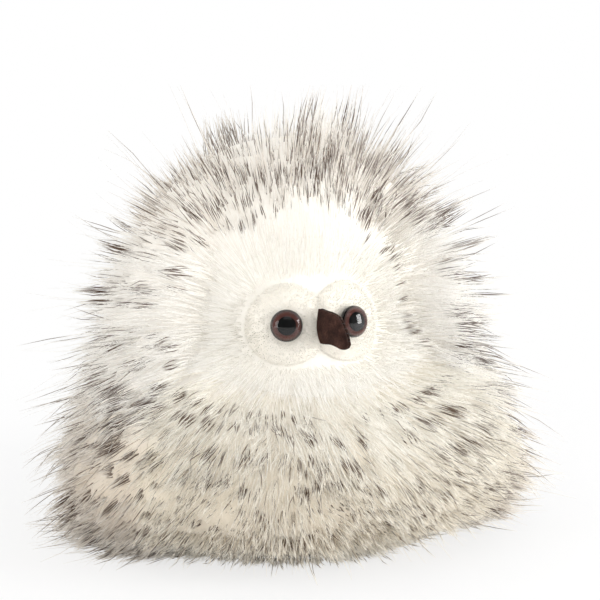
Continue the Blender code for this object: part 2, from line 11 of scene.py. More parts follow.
import bmesh
import bpy
import numpy as np
from mathutils import Matrix, Vector
from mathutils.kdtree import KDTree


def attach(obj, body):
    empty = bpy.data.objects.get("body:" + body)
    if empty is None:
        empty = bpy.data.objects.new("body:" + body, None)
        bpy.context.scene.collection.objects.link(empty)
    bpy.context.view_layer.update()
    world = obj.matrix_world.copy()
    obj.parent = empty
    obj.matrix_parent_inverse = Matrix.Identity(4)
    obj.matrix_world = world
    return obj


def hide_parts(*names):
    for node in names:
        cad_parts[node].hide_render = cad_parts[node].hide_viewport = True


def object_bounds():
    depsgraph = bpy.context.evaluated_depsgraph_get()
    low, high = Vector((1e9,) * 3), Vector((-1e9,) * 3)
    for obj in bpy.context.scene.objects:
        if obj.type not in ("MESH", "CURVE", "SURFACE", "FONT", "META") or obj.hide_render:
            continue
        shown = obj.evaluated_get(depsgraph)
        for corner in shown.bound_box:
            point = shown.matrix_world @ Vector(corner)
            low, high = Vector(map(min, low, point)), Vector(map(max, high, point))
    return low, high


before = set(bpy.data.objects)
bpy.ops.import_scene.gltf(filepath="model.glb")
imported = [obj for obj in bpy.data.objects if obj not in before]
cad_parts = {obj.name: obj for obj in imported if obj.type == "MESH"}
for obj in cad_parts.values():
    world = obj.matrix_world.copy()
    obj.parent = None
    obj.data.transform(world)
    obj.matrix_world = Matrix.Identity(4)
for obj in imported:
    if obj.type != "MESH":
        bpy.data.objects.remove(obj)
cad_low, cad_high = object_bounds()
print("CAD box, mm:", [round(1000 * side) for side in cad_high - cad_low])

# %% [markdown]
# ## Camera
#
# The photograph looks at the owl from its right and a little from above, because its right eye faces the
# camera squarely and its left eye is seen at 40 degrees. The distance is a guess from how little the far
# eye shrinks.

# %% Place the camera
VIEW_AZIMUTH = math.radians(-20.0)
VIEW_ELEVATION = math.radians(9.0)
VIEW_DISTANCE = 0.75
VIEW_TARGET = Vector((0.0061, -0.0021, 0.1129))
IMAGE_SIZE = 600
SENSOR_WIDTH = 36.0
FOCAL_PIXELS = 1526.0

towards_camera = Vector((
    math.sin(VIEW_AZIMUTH) * math.cos(VIEW_ELEVATION),
    -math.cos(VIEW_AZIMUTH) * math.cos(VIEW_ELEVATION),
    math.sin(VIEW_ELEVATION),
))
camera_data = bpy.data.cameras.new("camera")
camera_data.sensor_width = SENSOR_WIDTH
camera_data.lens = SENSOR_WIDTH * FOCAL_PIXELS / IMAGE_SIZE
camera = bpy.data.objects.new("camera", camera_data)
camera.location = VIEW_TARGET + towards_camera * VIEW_DISTANCE
camera.rotation_euler = towards_camera.to_track_quat("Z", "Y").to_euler()
bpy.context.scene.collection.objects.link(camera)
bpy.context.scene.camera = camera
bpy.context.scene.view_settings.view_transform = "Standard"
print("camera lens, mm:", round(camera_data.lens, 1))

# %% [markdown]
# ## Colours and nodes
#
# Colours are written as sRGB hex values, as a paint chart gives them, and one function turns them linear.
# A second small function adds a shader node, sets its values and joins its links, so that a material reads
# as a list of what is in it.

# %% Helpers for materials
def linear(hex_colour):
    """Linear red, green, blue and alpha of an sRGB hex colour."""
    parts = [int(hex_colour[first:first + 2], 16) / 255.0 for first in (1, 3, 5)]
    return [part / 12.92 if part <= 0.04045 else ((part + 0.055) / 1.055) ** 2.4 for part in parts] + [1.0]


def add(tree, kind, inputs=None, stops=(), to=None, **settings):
    """Add a node. An input takes a plain value, a hex colour or another node's output.

    A ramp takes stops of a position and a hex colour, and to is an input that the node's first output feeds.
    """
    node = tree.nodes.new("ShaderNode" + kind)
    for name, value in settings.items():
        setattr(node, name, value)
    for socket, value in (inputs or {}).items():
        if isinstance(value, bpy.types.NodeSocket):
            tree.links.new(value, node.inputs[socket])
        else:
            node.inputs[socket].default_value = linear(value) if isinstance(value, str) else value
    while stops and len(node.color_ramp.elements) < len(stops):
        node.color_ramp.elements.new(0.5)
    for number, (position, colour) in enumerate(stops):
        node.color_ramp.elements[number].position = position
        node.color_ramp.elements[number].color = linear(colour)
    if to is not None:
        tree.links.new(node.outputs[0], to)
    return node


COLOUR_A, COLOUR_B, MIXED_COLOUR = 6, 7, 2  # a Mix node's colour sockets, which share their names with others


def material(name, colour="#808080", **values):
    """A Principled material: its node tree and shader are returned with it."""
    made = bpy.data.materials.new(name)
    made.use_nodes = True
    shader = made.node_tree.nodes["Principled BSDF"]
    shader.inputs["Base Color"].default_value = linear(colour)
    for socket, value in values.items():
        shader.inputs[socket.replace("_", " ")].default_value = value
    return made, made.node_tree, shader


def pattern_to(tree, shader, colour_by, stops, relief_by=None, strength=0.0, depth=0.0):
    """Colour a surface by a pattern between stops, and raise it by a pattern to a depth in metres."""
    add(tree, "ValToRGB", {"Fac": colour_by}, stops, to=shader.inputs["Base Color"])
    if relief_by is not None:
        relief = {"Height": relief_by, "Strength": strength, "Distance": depth}
        add(tree, "Bump", relief, to=shader.inputs["Normal"])


# %% [markdown]
# ## Studio
#
# The photograph was lit for a white page: light comes from all round, and a little more from above. A
# pale world does most of it, and three soft lamps add a little shape. Behind the camera the studio is dark,
# and only gloss sees that, so that the pupils stay black. The floor is a big white sheet, and it keeps the
# soft shadow under the owl.

# %% Light the owl
LAMP_TARGET = Vector((0.0, 0.0, 0.1))
LAMPS = (
    ("key_above", (-0.15, -0.75, 0.85), (0.6, 0.4), 0.6),
    ("fill_left", (0.85, -0.60, 0.30), (0.4, 0.6), 7.5),
    ("fill_right", (-0.95, -0.45, 0.30), (0.4, 0.6), 2.5),
)
for name, place, size, watts in LAMPS:
    lamp = bpy.data.lights.new(name, "AREA")
    lamp.shape = "RECTANGLE"
    lamp.size, lamp.size_y = size
    lamp.energy = watts
    holder = bpy.data.objects.new(name, lamp)
    holder.location = place
    holder.rotation_euler = (LAMP_TARGET - holder.location).to_track_quat("-Z", "Y").to_euler()
    bpy.context.scene.collection.objects.link(holder)
print("lamps:", [lamp[0] for lamp in LAMPS])

# %% Light the page
WORLD_STRENGTH = 0.90
DARK_SHARE = 0.05
DARK_SIDE = (-0.33, -0.93, 0.10)
DARK_EDGE, DARK_CORE = [math.cos(math.radians(angle)) for angle in (95.0, 70.0)]
WHITE = (1.0, 1.0, 1.0, 1.0)
world = bpy.data.worlds.new("studio")
bpy.context.scene.world = world
world.use_nodes = True
tree = world.node_tree
tree.nodes.clear()
rays = add(tree, "LightPath")
seen = add(tree, "Math", {0: rays.outputs["Is Camera Ray"], 1: rays.outputs["Is Transmission Ray"]},
           operation="MAXIMUM")
heading = add(tree, "TexCoord").outputs["Generated"]
facing = add(tree, "VectorMath", {0: heading, 1: DARK_SIDE}, operation="DOT_PRODUCT").outputs["Value"]
level = add(tree, "MapRange", {"Value": facing, "From Min": DARK_EDGE, "From Max": DARK_CORE,
                               "To Min": WORLD_STRENGTH, "To Max": WORLD_STRENGTH * DARK_SHARE},
            interpolation_type="SMOOTHSTEP")
lit = add(tree, "Background", {"Color": WHITE, "Strength": WORLD_STRENGTH})
card = add(tree, "Background", {"Color": WHITE, "Strength": level.outputs["Result"]})
page = add(tree, "Background", {"Color": WHITE, "Strength": 1.0})
mirrored = add(tree, "MixShader", {0: rays.outputs["Is Glossy Ray"], 1: lit.outputs[0], 2: card.outputs[0]})
either = add(tree, "MixShader", {0: seen.outputs[0], 1: mirrored.outputs[0], 2: page.outputs[0]})
add(tree, "OutputWorld", {"Surface": either.outputs[0]})
print("world strength:", WORLD_STRENGTH)

# %% Lay the floor
FLOOR_HALF = 6.0
PAGE_FROM, PAGE_TO = 0.16, 0.42
PAGE_SHARE = 0.70
bm = bmesh.new()
bmesh.ops.create_grid(bm, x_segments=1, y_segments=1, size=FLOOR_HALF)
floor_mesh = bpy.data.meshes.new("floor")
bm.to_mesh(floor_mesh)
bm.free()
floor = bpy.data.objects.new("floor", floor_mesh)
bpy.context.scene.collection.objects.link(floor)

# Seamless photographic paper: matt white, and past the shadow it's the page itself.
paper, tree, shader = material("seamless_paper", "#F4F4F4", Roughness=0.9)
floor_mesh.materials.append(paper)
spot = add(tree, "TexCoord").outputs["Object"]
reach = add(tree, "VectorMath", {0: spot}, operation="LENGTH").outputs["Value"]
far = add(tree, "MapRange", {"Value": reach, "From Min": PAGE_FROM, "From Max": PAGE_TO,
                             "To Min": PAGE_SHARE}, interpolation_type="SMOOTHSTEP")
rays = add(tree, "LightPath")
share = add(tree, "Math", {0: far.outputs["Result"], 1: rays.outputs["Is Camera Ray"]}, operation="MULTIPLY")
page = add(tree, "Emission", {"Color": WHITE, "Strength": 1.0})
add(tree, "MixShader", {0: share.outputs[0], 1: shader.outputs[0], 2: page.outputs[0]},
    to=tree.nodes["Material Output"].inputs["Surface"])
print("floor turns to page white from, mm:", round(1000 * PAGE_FROM), "to", round(1000 * PAGE_TO))

# %% [markdown]
# ## The stuffed skin
#
# Every hair needs to know where it is rooted and which way is out. So the skin is described once, as an
# outline from the bottom edge to the crown, drawn out to an oval: the same table as in the CAD.
# A place on it has an azimuth, 0 in front and growing to the owl's left, and a rise, the share of the way up.

# %% Describe the skin
SKIN_RADIUS = 0.0695
SKIN_HEIGHT = 0.152
DEPTH_SHARE = 0.935
FLOOR_GAP = 0.0003
PILE_LENGTH = 0.048
SKIN_OUTLINE_SHARES = (
    (0.80, 0.000), (0.93, 0.055), (1.00, 0.185), (0.975, 0.290), (0.90, 0.390), (0.785, 0.510),
    (0.685, 0.640), (0.640, 0.755), (0.530, 0.865), (0.320, 0.955), (0.000, 1.000),
)
SIDE_PILE_SHARES = (
    (0.96, 0.0), (0.97, -4.0), (0.96, -14.0), (0.96, -12.0), (0.95, -10.0), (0.96, -10.0),
    (1.00, -5.0), (0.98, 8.0), (1.02, 28.0), (1.03, 58.0), (1.06, 90.0),
)
FRONT_PILE_SHARES = (
    (0.20, 0.0), (0.40, -8.0), (0.78, -16.0), (0.99, -12.0), (0.96, -10.0), (0.94, -9.0),
    (0.96, -3.0), (0.97, 9.0), (1.02, 29.0), (1.03, 58.5), (1.06, 90.0),
)


def smooth_curve(points, steps):
    """Points of a smooth curve through rows of numbers."""
    rows = np.array(points, dtype=float)
    rows = np.vstack([2.0 * rows[0] - rows[1], rows, 2.0 * rows[-1] - rows[-2]])
    curve = []
    for first in range(1, len(rows) - 2):
        p0, p1, p2, p3 = rows[first - 1:first + 3]
        for t in np.arange(steps) / steps:
            bend = (2 * p0 - 5 * p1 + 4 * p2 - p3) * t ** 2 + (3 * p1 - p0 - 3 * p2 + p3) * t ** 3
            curve.append(p1 + 0.5 * ((p2 - p0) * t + bend))
    return np.array(curve + [rows[-2]])


def outline_table(steps=40):
    """Rise, then radius and height of the skin, the side pile and the front pile, from floor to crown."""
    rows = []
    for (radius_share, height_share), *piles in zip(SKIN_OUTLINE_SHARES, SIDE_PILE_SHARES, FRONT_PILE_SHARES):
        radius = SKIN_RADIUS * radius_share
        height = FLOOR_GAP + (SKIN_HEIGHT - FLOOR_GAP) * height_share
        row = [radius, height]
        for length_share, lean in piles:
            row.append(radius + PILE_LENGTH * length_share * math.cos(math.radians(lean)))
            row.append(height + PILE_LENGTH * length_share * math.sin(math.radians(lean)))
        rows.append(row)
    mirrored = [np.array(row) * (-1, 1, -1, 1, -1, 1) for row in reversed(rows[:-1])]
    curve = smooth_curve(rows + mirrored, steps)[:(len(rows) - 1) * steps + 1]
    runs = np.hypot(np.diff(curve[:, 0]), np.diff(curve[:, 1]))
    travelled = np.concatenate([[0.0], np.cumsum(runs)])
    return np.column_stack([travelled / travelled[-1], curve]), travelled[-1]


OUTLINE, SKIN_LENGTH = outline_table()
print("skin length from the floor to the crown, mm:", round(1000 * SKIN_LENGTH))


# %% Find places on the skin
def outline_at(rise, column):
    """A column of the outline: 1 and 2 for the skin, 3 and 4 for the side pile, 5 and 6 for the front's."""
    return np.interp(rise, OUTLINE[:, 0], OUTLINE[:, column])


def on_oval(radius, azimuth, height):
    """Points on the oval of this half width."""
    return np.stack([radius * np.sin(azimuth), -radius * DEPTH_SHARE * np.cos(azimuth), height], axis=-1)


def unit(vectors):
    """The same directions with length 1."""
    return vectors / np.maximum(np.linalg.norm(vectors, axis=-1, keepdims=True), 1e-12)


def skin_points(azimuth, rise):
    """Points on the skin."""
    return on_oval(outline_at(rise, 1), azimuth, outline_at(rise, 2))


def skin_normals(azimuth, rise):
    """The skin's outward directions."""
    step = 0.5 / len(OUTLINE)
    over = skin_points(azimuth, np.minimum(rise + step, 1.0))
    up = over - skin_points(azimuth, np.maximum(rise - step, 0.0))
    along = np.stack([np.cos(azimuth), DEPTH_SHARE * np.sin(azimuth), np.zeros_like(azimuth)], axis=-1)
    return unit(np.cross(along, up))


print("widest skin, mm:", round(2000 * float(OUTLINE[:, 1].max())))

# %% [markdown]
# ## Seams and the eye line
#
# The seams say which panel a hair belongs to. The eyes matter as well: the face's pile lies away from
# them on all sides, so each hair there needs its distance from the line between the two eyes.

# %% Describe the seams
EYE_HEIGHT = 0.108
EYE_HALF_SPACING = 0.0148
EYE_DISC_RADIUS = 0.019
FRONT_HALF_ANGLE = math.radians(60.0)
FACE_BACKING = 0.0015


def rise_at_height(height):
    """The rise at which the skin has this height."""
    return np.interp(height, OUTLINE[:, 2], OUTLINE[:, 0])


def towards_side(azimuth):
    """0 in front of the owl, growing to 1 at the edge of the front panels."""
    return np.minimum(np.abs(azimuth) / FRONT_HALF_ANGLE, 1.0) ** 2


def chin_rise(azimuth):
    """Where the chin seam runs: a little higher at the sides."""
    return rise_at_height(EYE_HEIGHT * (0.72 + 0.10 * towards_side(azimuth)))


def brow_rise(azimuth):
    """Where the brow seam runs: a good deal lower at the sides."""
    return rise_at_height(EYE_HEIGHT + (SKIN_HEIGHT - EYE_HEIGHT) * (0.74 - 0.28 * towards_side(azimuth)))


EYE_RISE = float(rise_at_height(EYE_HEIGHT))
EYE_AZIMUTH = math.asin(EYE_HALF_SPACING / float(outline_at(EYE_RISE, 1)))
EYE_SPOTS = skin_points(np.array([-EYE_AZIMUTH, EYE_AZIMUTH]), np.array([EYE_RISE, EYE_RISE]))


def from_eye_line(places):
    """Vectors to these places from the nearest point on the line between the eyes."""
    span = EYE_SPOTS[1] - EYE_SPOTS[0]
    along = np.clip((places - EYE_SPOTS[0]) @ span / (span @ span), 0.0, 1.0)
    return places - (EYE_SPOTS[0] + along[:, None] * span)


def smooth_step(values, low, high):
    """0 below low, 1 above high, and a soft step between them."""
    share = np.clip((values - low) / (high - low), 0.0, 1.0)
    return share * share * (3.0 - 2.0 * share)


print("eyes at azimuth, degrees:", round(math.degrees(EYE_AZIMUTH), 1))

# %% [markdown]
# ## Underfur
#
# Real pile has two coats. Under the long guard hairs lies a dense crimped coat that nobody can see into.
# Millions of fibres would be needed for it, so it is a soft solid: a slab on each panel from the skin to
# well inside the pile, lumpy, with painted shade in its partings. It is deep in front, where the coat looks
# closed, and shallow at the brow and at the floor, where light comes through between the hairs.

# %% Shape the underfur
DISH_EDGE = EYE_DISC_RADIUS + 0.003
DISH_RIM = 0.058
SHARE_HEIGHTS = (0.0, 0.010, 0.030, 0.080, 0.120, 0.140, 0.152)
FRONT_SHARES = (0.40, 0.50, 0.74, 0.80, 0.56, 0.54, 0.78)
SIDE_SHARES = (0.46, 0.64, 0.82, 0.82, 0.78, 0.78, 0.80)


def frontness(azimuth):
    """1 in front of the owl, 0 at its sides and back."""
    return smooth_step(np.cos(azimuth), 0.05, 0.75)


def by_height(heights, front_values, side_values, azimuth, height):
    """A value read from two tables by height, one for the front and one for the sides and back."""
    front = frontness(azimuth)
    front_value, side_value = [np.interp(height, heights, values) for values in (front_values, side_values)]
    return front * front_value + (1 - front) * side_value


def underfur_depth(azimuth, rise):
    """How deep the underfur is: it thins out towards the eye discs."""
    root = skin_points(azimuth, rise)
    side, front = [on_oval(outline_at(rise, column), azimuth, outline_at(rise, column + 1))
                   for column in (3, 5)]
    pile = side + (front - side) * frontness(azimuth)[:, None] - root
    share = by_height(SHARE_HEIGHTS, FRONT_SHARES, SIDE_SHARES, azimuth, root[:, 2])
    reach = smooth_step(np.linalg.norm(from_eye_line(root), axis=-1), DISH_EDGE, DISH_RIM)
    return FACE_BACKING + (np.linalg.norm(pile, axis=-1) * share - FACE_BACKING) * reach, unit(pile)


def lumps(places, size, seed):
    """Soft noise between -1 and 1 at these places, with lumps of about this size."""
    waves = np.random.default_rng(seed)
    total = np.zeros(len(places))
    for wave in range(12):
        direction = unit(waves.normal(size=3))
        pitch = size * waves.uniform(0.7, 1.6)
        total += np.sin(places @ direction * math.tau / pitch + waves.uniform(0, math.tau))
    return total / 3.5


print("underfur at the middle of the belly, mm:",
      round(1000 * float(underfur_depth(np.zeros(1), np.array([0.25]))[0][0]), 1))


# %% Bend a slab into a piece
SEAM_GAP = 0.0004
# The parting between the underfurs of two panels. It is thin, but from behind, where hairs are few, a fine
# line still shows there.
PARTING = 0.00012


def slab(columns, rows, place, ring=False, pole=False):
    """A unit slab bent into place. As a ring its two sides meet, and with a pole its far edge is a point."""
    bm = bmesh.new()
    bmesh.ops.create_grid(bm, x_segments=columns, y_segments=rows, size=0.5)
    bmesh.ops.translate(bm, verts=bm.verts[:], vec=(0.5, 0.5, 0.0))
    raised = bmesh.ops.extrude_face_region(bm, geom=bm.faces[:], use_keep_orig=True)["geom"]
    top = [part for part in raised if isinstance(part, bmesh.types.BMVert)]
    bmesh.ops.translate(bm, verts=top, vec=(0, 0, 1))
    bm.normal_update()
    sides = [face for face in bm.faces if ring and abs(face.normal.x) > 0.5]
    ends = [face for face in bm.faces
            if pole and abs(face.normal.y) > 0.5 and face.calc_center_median().y > 0.5]
    bmesh.ops.delete(bm, geom=sides + ends, context="FACES_ONLY")
    spots = place(*np.array([vert.co for vert in bm.verts]).T)
    for vert, spot in zip(bm.verts, spots):
        vert.co = spot
    bmesh.ops.remove_doubles(bm, verts=bm.verts[:], dist=SEAM_GAP / 20.0)
    bmesh.ops.recalc_face_normals(bm, faces=bm.faces[:])
    return bm


def finish(name, bm, body, looks):
    """Turn a bmesh into a smooth piece that rides on a body."""
    mesh = bpy.data.meshes.new(name)
    bm.to_mesh(mesh)
    bm.free()
    mesh.shade_smooth()
    mesh.materials.append(looks)
    piece = bpy.data.objects.new(name, mesh)
    bpy.context.scene.collection.objects.link(piece)
    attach(piece, body)
    return piece


# %% Colour the underfur, with painted shade in its partings
def underfur_material(name, light, shade, middle, low):
    """Crimped acrylic underfur, matt: painted shade where the fibres part, and darker towards the bottom."""
    made, tree, shader = material(name, light, Roughness=0.95, Sheen_Weight=0.4, Sheen_Roughness=0.6,
                                  Specular_IOR_Level=0.1)
    spot = add(tree, "TexCoord").outputs["Object"]
    streaks = add(tree, "Mapping", {"Vector": spot, "Scale": (1.0, 1.0, 0.35)})
    noise = add(tree, "TexNoise", {"Vector": streaks.outputs[0], "Scale": 420.0, "Detail": 4.0,
                                   "Roughness": 0.6})
    # One noise raises the bumps and colours them: painted shade where they dip, between the fibres.
    shaded_partings = add(tree, "ValToRGB", {"Fac": noise.outputs["Fac"]}, [(0.30, shade), (0.62, light)])
    height = add(tree, "SeparateXYZ", {"Vector": spot}).outputs["Z"]
    fading = add(tree, "MapRange", {"Value": height, "From Min": 0.010, "From Max": 0.085})
    # Darker towards the bottom: white high up, then the middle colour, then the low one near the floor.
    darker_below = add(tree, "ValToRGB", {"Fac": fading.outputs[0]},
                  [(0.0, low), (0.55, middle), (1.0, "#FFFFFF")])
    colour = add(tree, "Mix", {"Factor": 1.0, COLOUR_A: shaded_partings.outputs[0], COLOUR_B: darker_below.outputs[0]},
                 data_type="RGBA", blend_type="MULTIPLY")
    tree.links.new(colour.outputs[MIXED_COLOUR], shader.inputs["Base Color"])
    add(tree, "Bump", {"Height": noise.outputs["Fac"], "Strength": 0.5, "Distance": 0.001},
        to=shader.inputs["Normal"])
    return made


UNDERFUR_LOOKS = {
    "white_fur": underfur_material("underfur_white", "#F2EEE5", "#EDE8DE", "#FFFFFF", "#FFFFFF"),
    "belly_fur": underfur_material("underfur_cream", "#F2EDE3", "#EBE5DA", "#F4EEE3", "#D3CABD"),
    "dark_tipped_fur": underfur_material("underfur_taupe", "#F2EDE4", "#ECE6DC", "#EFE7DC", "#C6B9AA"),
}
print("underfur finishes:", list(UNDERFUR_LOOKS))

# %% Make the underfur
FRONT = (-FRONT_HALF_ANGLE, FRONT_HALF_ANGLE)
LEFT = (FRONT_HALF_ANGLE, math.pi)
RIGHT = (-math.pi, -FRONT_HALF_ANGLE)
# Each panel's azimuths, its lower and upper seam, its slot and its node. The bottom edge has rise 0 all
# round, and the pole has rise 1.
PANELS = {
    "face": (FRONT, chin_rise, brow_rise, "white_fur", "face_panel"),
    "belly": (FRONT, np.zeros_like, chin_rise, "belly_fur", "belly_panel"),
    "body_left": (LEFT, np.zeros_like, chin_rise, "dark_tipped_fur", "body_left"),
    "body_right": (RIGHT, np.zeros_like, chin_rise, "dark_tipped_fur", "body_right"),
    "head_back_left": (LEFT, chin_rise, brow_rise, "dark_tipped_fur", "head_back_left"),
    "head_back_right": (RIGHT, chin_rise, brow_rise, "dark_tipped_fur", "head_back_right"),
    "crown": ((-math.pi, math.pi), brow_rise, np.ones_like, "dark_tipped_fur", "crown_panel"),
}
LUMP_SIZE = 0.024
LUMP_SHARE = 0.04


def underfur_piece(name):
    """The underfur of one panel, from seam to seam."""
    (first, last), low_seam, high_seam, slot, node = PANELS[name]
    is_crown = name == "crown"

    def place(across, up, through):
        """A point of this panel's slab."""
        azimuth = first + (last - first) * across
        rise = low_seam(azimuth) + (high_seam(azimuth) - low_seam(azimuth)) * up
        if is_crown:
            rise = rise + PARTING / 2.0 / SKIN_LENGTH * (1.0 - up)
        else:
            azimuth = azimuth + PARTING / 2.0 / SKIN_RADIUS * (1.0 - 2.0 * across)
            rise = rise + PARTING / 2.0 / SKIN_LENGTH * (1.0 - 2.0 * up)
        depth, pile = underfur_depth(azimuth, rise)
        inner = skin_points(azimuth, rise)
        outer = inner + pile * depth[:, None]
        swell = 1.0 + LUMP_SHARE * lumps(outer, LUMP_SIZE, 3) * np.minimum(depth / 0.02, 1.0)
        spots = inner + (outer - inner) * (through * swell)[:, None]
        spots[:, 2] = np.maximum(spots[:, 2], FLOOR_GAP)
        return spots

    bm = slab(96, 20, place, ring=True, pole=True) if is_crown else slab(44, 30, place)
    piece = finish("underfur_" + name, bm, "plush", UNDERFUR_LOOKS[slot])
    piece.data.set_sharp_from_angle(angle=math.radians(50.0))
    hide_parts(node)
    return piece


for name in PANELS:
    underfur_piece(name)
print("underfur pieces:", len(PANELS))

# %% [markdown]
# ## Guard hairs: where they grow
#
# Roots are spread evenly, not at random, so that no bald spot shows. A low-discrepancy sequence does that:
# each new root falls in the largest gap that the earlier ones left. Its second number is turned into a
# rise through the skin's own area, because the wide body needs more hairs than the narrow crown.

# %% Sow the roots
HAIR_COUNT = 78000
FACE_DENSITY = 0.55  # next to the eye discs, where the pile is short, and full density further out
FULL_FROM, FULL_AT = 0.030, 0.060
DISC_CLEARANCE = 0.0005
rng = np.random.default_rng(7)


def even_spots(count):
    """Evenly spread pairs of numbers between 0 and 1."""
    golden = 1.32471795724474602596
    steps = np.array([1.0 / golden, 1.0 / golden ** 2])
    return (0.5 + np.outer(np.arange(1, count + 1), steps)) % 1.0


strips = (OUTLINE[1:, 1] + OUTLINE[:-1, 1]) / 2.0 * np.diff(OUTLINE[:, 0]) * SKIN_LENGTH
AREA_BELOW = np.concatenate([[0.0], np.cumsum(strips)]) * math.tau
spots = even_spots(HAIR_COUNT)
azimuth = (spots[:, 0] * 2.0 - 1.0) * math.pi
rise = np.interp(spots[:, 1], AREA_BELOW / AREA_BELOW[-1], OUTLINE[:, 0])
root = skin_points(azimuth, rise)
eye_gap = np.linalg.norm(from_eye_line(root), axis=-1)
density = FACE_DENSITY + (1.0 - FACE_DENSITY) * smooth_step(eye_gap, FULL_FROM, FULL_AT)
keep = (eye_gap > EYE_DISC_RADIUS + DISC_CLEARANCE) & (rng.random(len(root)) < density)
azimuth, rise, root = azimuth[keep], rise[keep], root[keep]
normal = skin_normals(azimuth, rise)
eye_way = from_eye_line(root)
eye_distance = np.linalg.norm(eye_way, axis=-1)
print("roots sown:", len(root), "per square mm:", round(len(root) / AREA_BELOW[-1] * 1e-6, 2))

# %% Say which panel each root is on
degrees, height = np.degrees(azimuth), root[:, 2]
is_front = np.abs(azimuth) < FRONT_HALF_ANGLE
is_body = rise < chin_rise(azimuth)
is_crown = rise > brow_rise(azimuth)
is_side = ~is_front & ~is_body & ~is_crown
is_face = is_front & ~is_body & ~is_crown
is_belly = is_front & is_body
is_flank = ~is_front & is_body
PANEL_NAMES = ["face", "belly", "crown", "body_left", "body_right", "head_back_left", "head_back_right"]
panel = np.select([is_face, is_belly, is_crown, is_flank & (azimuth > 0), is_flank, is_side & (azimuth > 0)],
                  [0, 1, 2, 3, 4, 5], 6)


def per_panel(face, belly, crown, flank, side):
    """A value for every hair, by the kind of panel that it stands on."""
    return np.select([is_face, is_belly, is_crown, is_flank], [face, belly, crown, flank], side)


print("hairs on each panel:", dict(zip(PANEL_NAMES, np.bincount(panel).tolist())))

# %% [markdown]
# ## Guard hairs: rows of dark tips
#
# The cloth is woven with rows of dark-tipped hairs. Round the face the rows run like rings, because the
# panels were cut that way. Within a row the dark hairs stand in tufts, and each tuft shows as one short
# brush stroke. So every hair is given the row and the tuft that it is nearest to, and it is dark when it
# stands well inside the tuft.

# %% Find the rows
DARK_LEVELS = 8
TINTS = 8
RUN_SCALES = (0.062, 0.036)  # the skin's half width along the body's rows and along the crown's
ROW_PLACES = np.concatenate([(-0.0045, 0.0050, 0.0125, 0.0220), np.arange(0.033, 0.30, 0.011)])
GROUP_SIZE = 0.013
SIDE_MARGIN = 0.007
TUFT_PITCH = 0.0029
TUFT_HALF = 0.0009


def chance_number(*numbers):
    """A repeatable random number from 0 to 1 for each set of whole numbers."""
    mixed = np.sin(sum(number * factor for number, factor in zip(numbers, (127.1, 311.7, 74.7)))) * 43758.5453
    return mixed - np.floor(mixed)


below = (chin_rise(azimuth) - rise) * SKIN_LENGTH
above = (rise - brow_rise(azimuth)) * SKIN_LENGTH
beside = (np.abs(azimuth) - FRONT_HALF_ANGLE) * outline_at(rise, 1)
edge = np.maximum(below, above)
beside_rows = beside - SIDE_MARGIN * smooth_step(-azimuth, 0.0, 0.3)
from_face = np.where((edge > 0.0) & (beside > 0.0), np.hypot(edge, np.maximum(beside_rows, 0.0)),
                     np.maximum(edge, beside_rows))
row = np.abs(from_face[:, None] - ROW_PLACES[None, :]).argmin(axis=1)
off_row = np.abs(from_face - ROW_PLACES[row])
run = np.select([is_body, is_crown], [azimuth * scale for scale in RUN_SCALES], rise * SKIN_LENGTH)
print("rows from the face to the centre back:", int(row.max()))

# %% Find the tufts
tuft_spot = run / TUFT_PITCH + row * 0.37
tuft = np.floor(tuft_spot)
shifted = 0.30 * (chance_number(tuft, row, panel) - 0.5)
off_tuft = np.abs(tuft_spot - tuft - 0.5 - shifted) * TUFT_PITCH
size = 0.75 + 0.5 * chance_number(tuft, row, panel + 11)
spot = run / GROUP_SIZE + row * 0.61
step = spot - np.floor(spot)
first, second = [chance_number(np.floor(spot) + ahead, row, panel + 5) for ahead in (0, 1)]
grouped = smooth_step(first + (second - first) * smooth_step(step, 0.0, 1.0), 0.30, 0.45)
print("share of the hairs that stand where tufts gather:", round(float(grouped.mean()), 2))

# %% Thin the tufts out
# Which share of the tufts is there. The face has them only along its edge: a few at its lower edge, more at
# the owl's right, and a full row at the owl's left.
owls_left = smooth_step(degrees, 34.0, 44.0) * smooth_step(height, 0.080, 0.088)
owls_right = smooth_step(-degrees, 5.0, 40.0)
lower_edge = (below > -0.009) & (np.abs(degrees) < 52.0)
edge_share = np.where(lower_edge, 0.10 + 0.30 * owls_right * grouped, 0.75 * owls_left)
more_left = np.where(azimuth > 0.0, 0.16, 0.0)
there = per_panel(np.where(row == 0, edge_share, 0.0), 0.15 + 0.80 * grouped, 0.30 + 0.68 * grouped,
                  0.30 + 0.62 * grouped + more_left, 0.12 + 0.40 * grouped + more_left)
# They thin out at the floor in front, towards the back of the body, and over the top of the crown.
round_side = smooth_step(np.abs(degrees), 72.0, 105.0)
over_crown = smooth_step(above, 0.024, 0.038)
there = there * per_panel(1.0, smooth_step(height, 0.016, 0.030), 1.0 - 0.5 * over_crown,
                          1.0 - 0.45 * round_side, 1.0)
present = chance_number(tuft, row, panel + 23) < there
half_row = per_panel(0.0019, 0.0019, 0.0032, 0.0032, 0.0020)
in_tuft = present & (off_tuft < TUFT_HALF * size) & (off_row < half_row * size)
print("hairs that stand in a tuft:", int(in_tuft.sum()))

# %% Choose the dark hairs
STRAY_SHARE, LOW_STRAY_SHARE = 0.09, 0.05
STRAY_DARK = 0.35
CROWN_BAND = 0.30
TUFT_DARK = 0.94
LONE_DARK = (0.0, 0.05, 0.14, 0.12, 0.10)  # outside the tufts: face, belly, crown, flank, side
LEFT_LONE_DARK = 0.30
shaded = smooth_step(from_face, 0.028, 0.062) * smooth_step(height, 0.012, 0.028)
lone = per_panel(*LONE_DARK) + np.where(is_body, 0.24 * shaded, 0.0)
lone = lone + np.where(is_flank & (azimuth > 0.0), LEFT_LONE_DARK, 0.0)
lone = lone * smooth_step(from_face, 0.006, 0.032) * (1.0 - 0.45 * round_side)
crown_band = is_crown * smooth_step(above, 0.001, 0.007) * (1.0 - smooth_step(above, 0.024, 0.036))
lone = np.maximum(lone, CROWN_BAND * crown_band)
low_front = is_front * smooth_step(0.034 - height, 0.0, 0.012)
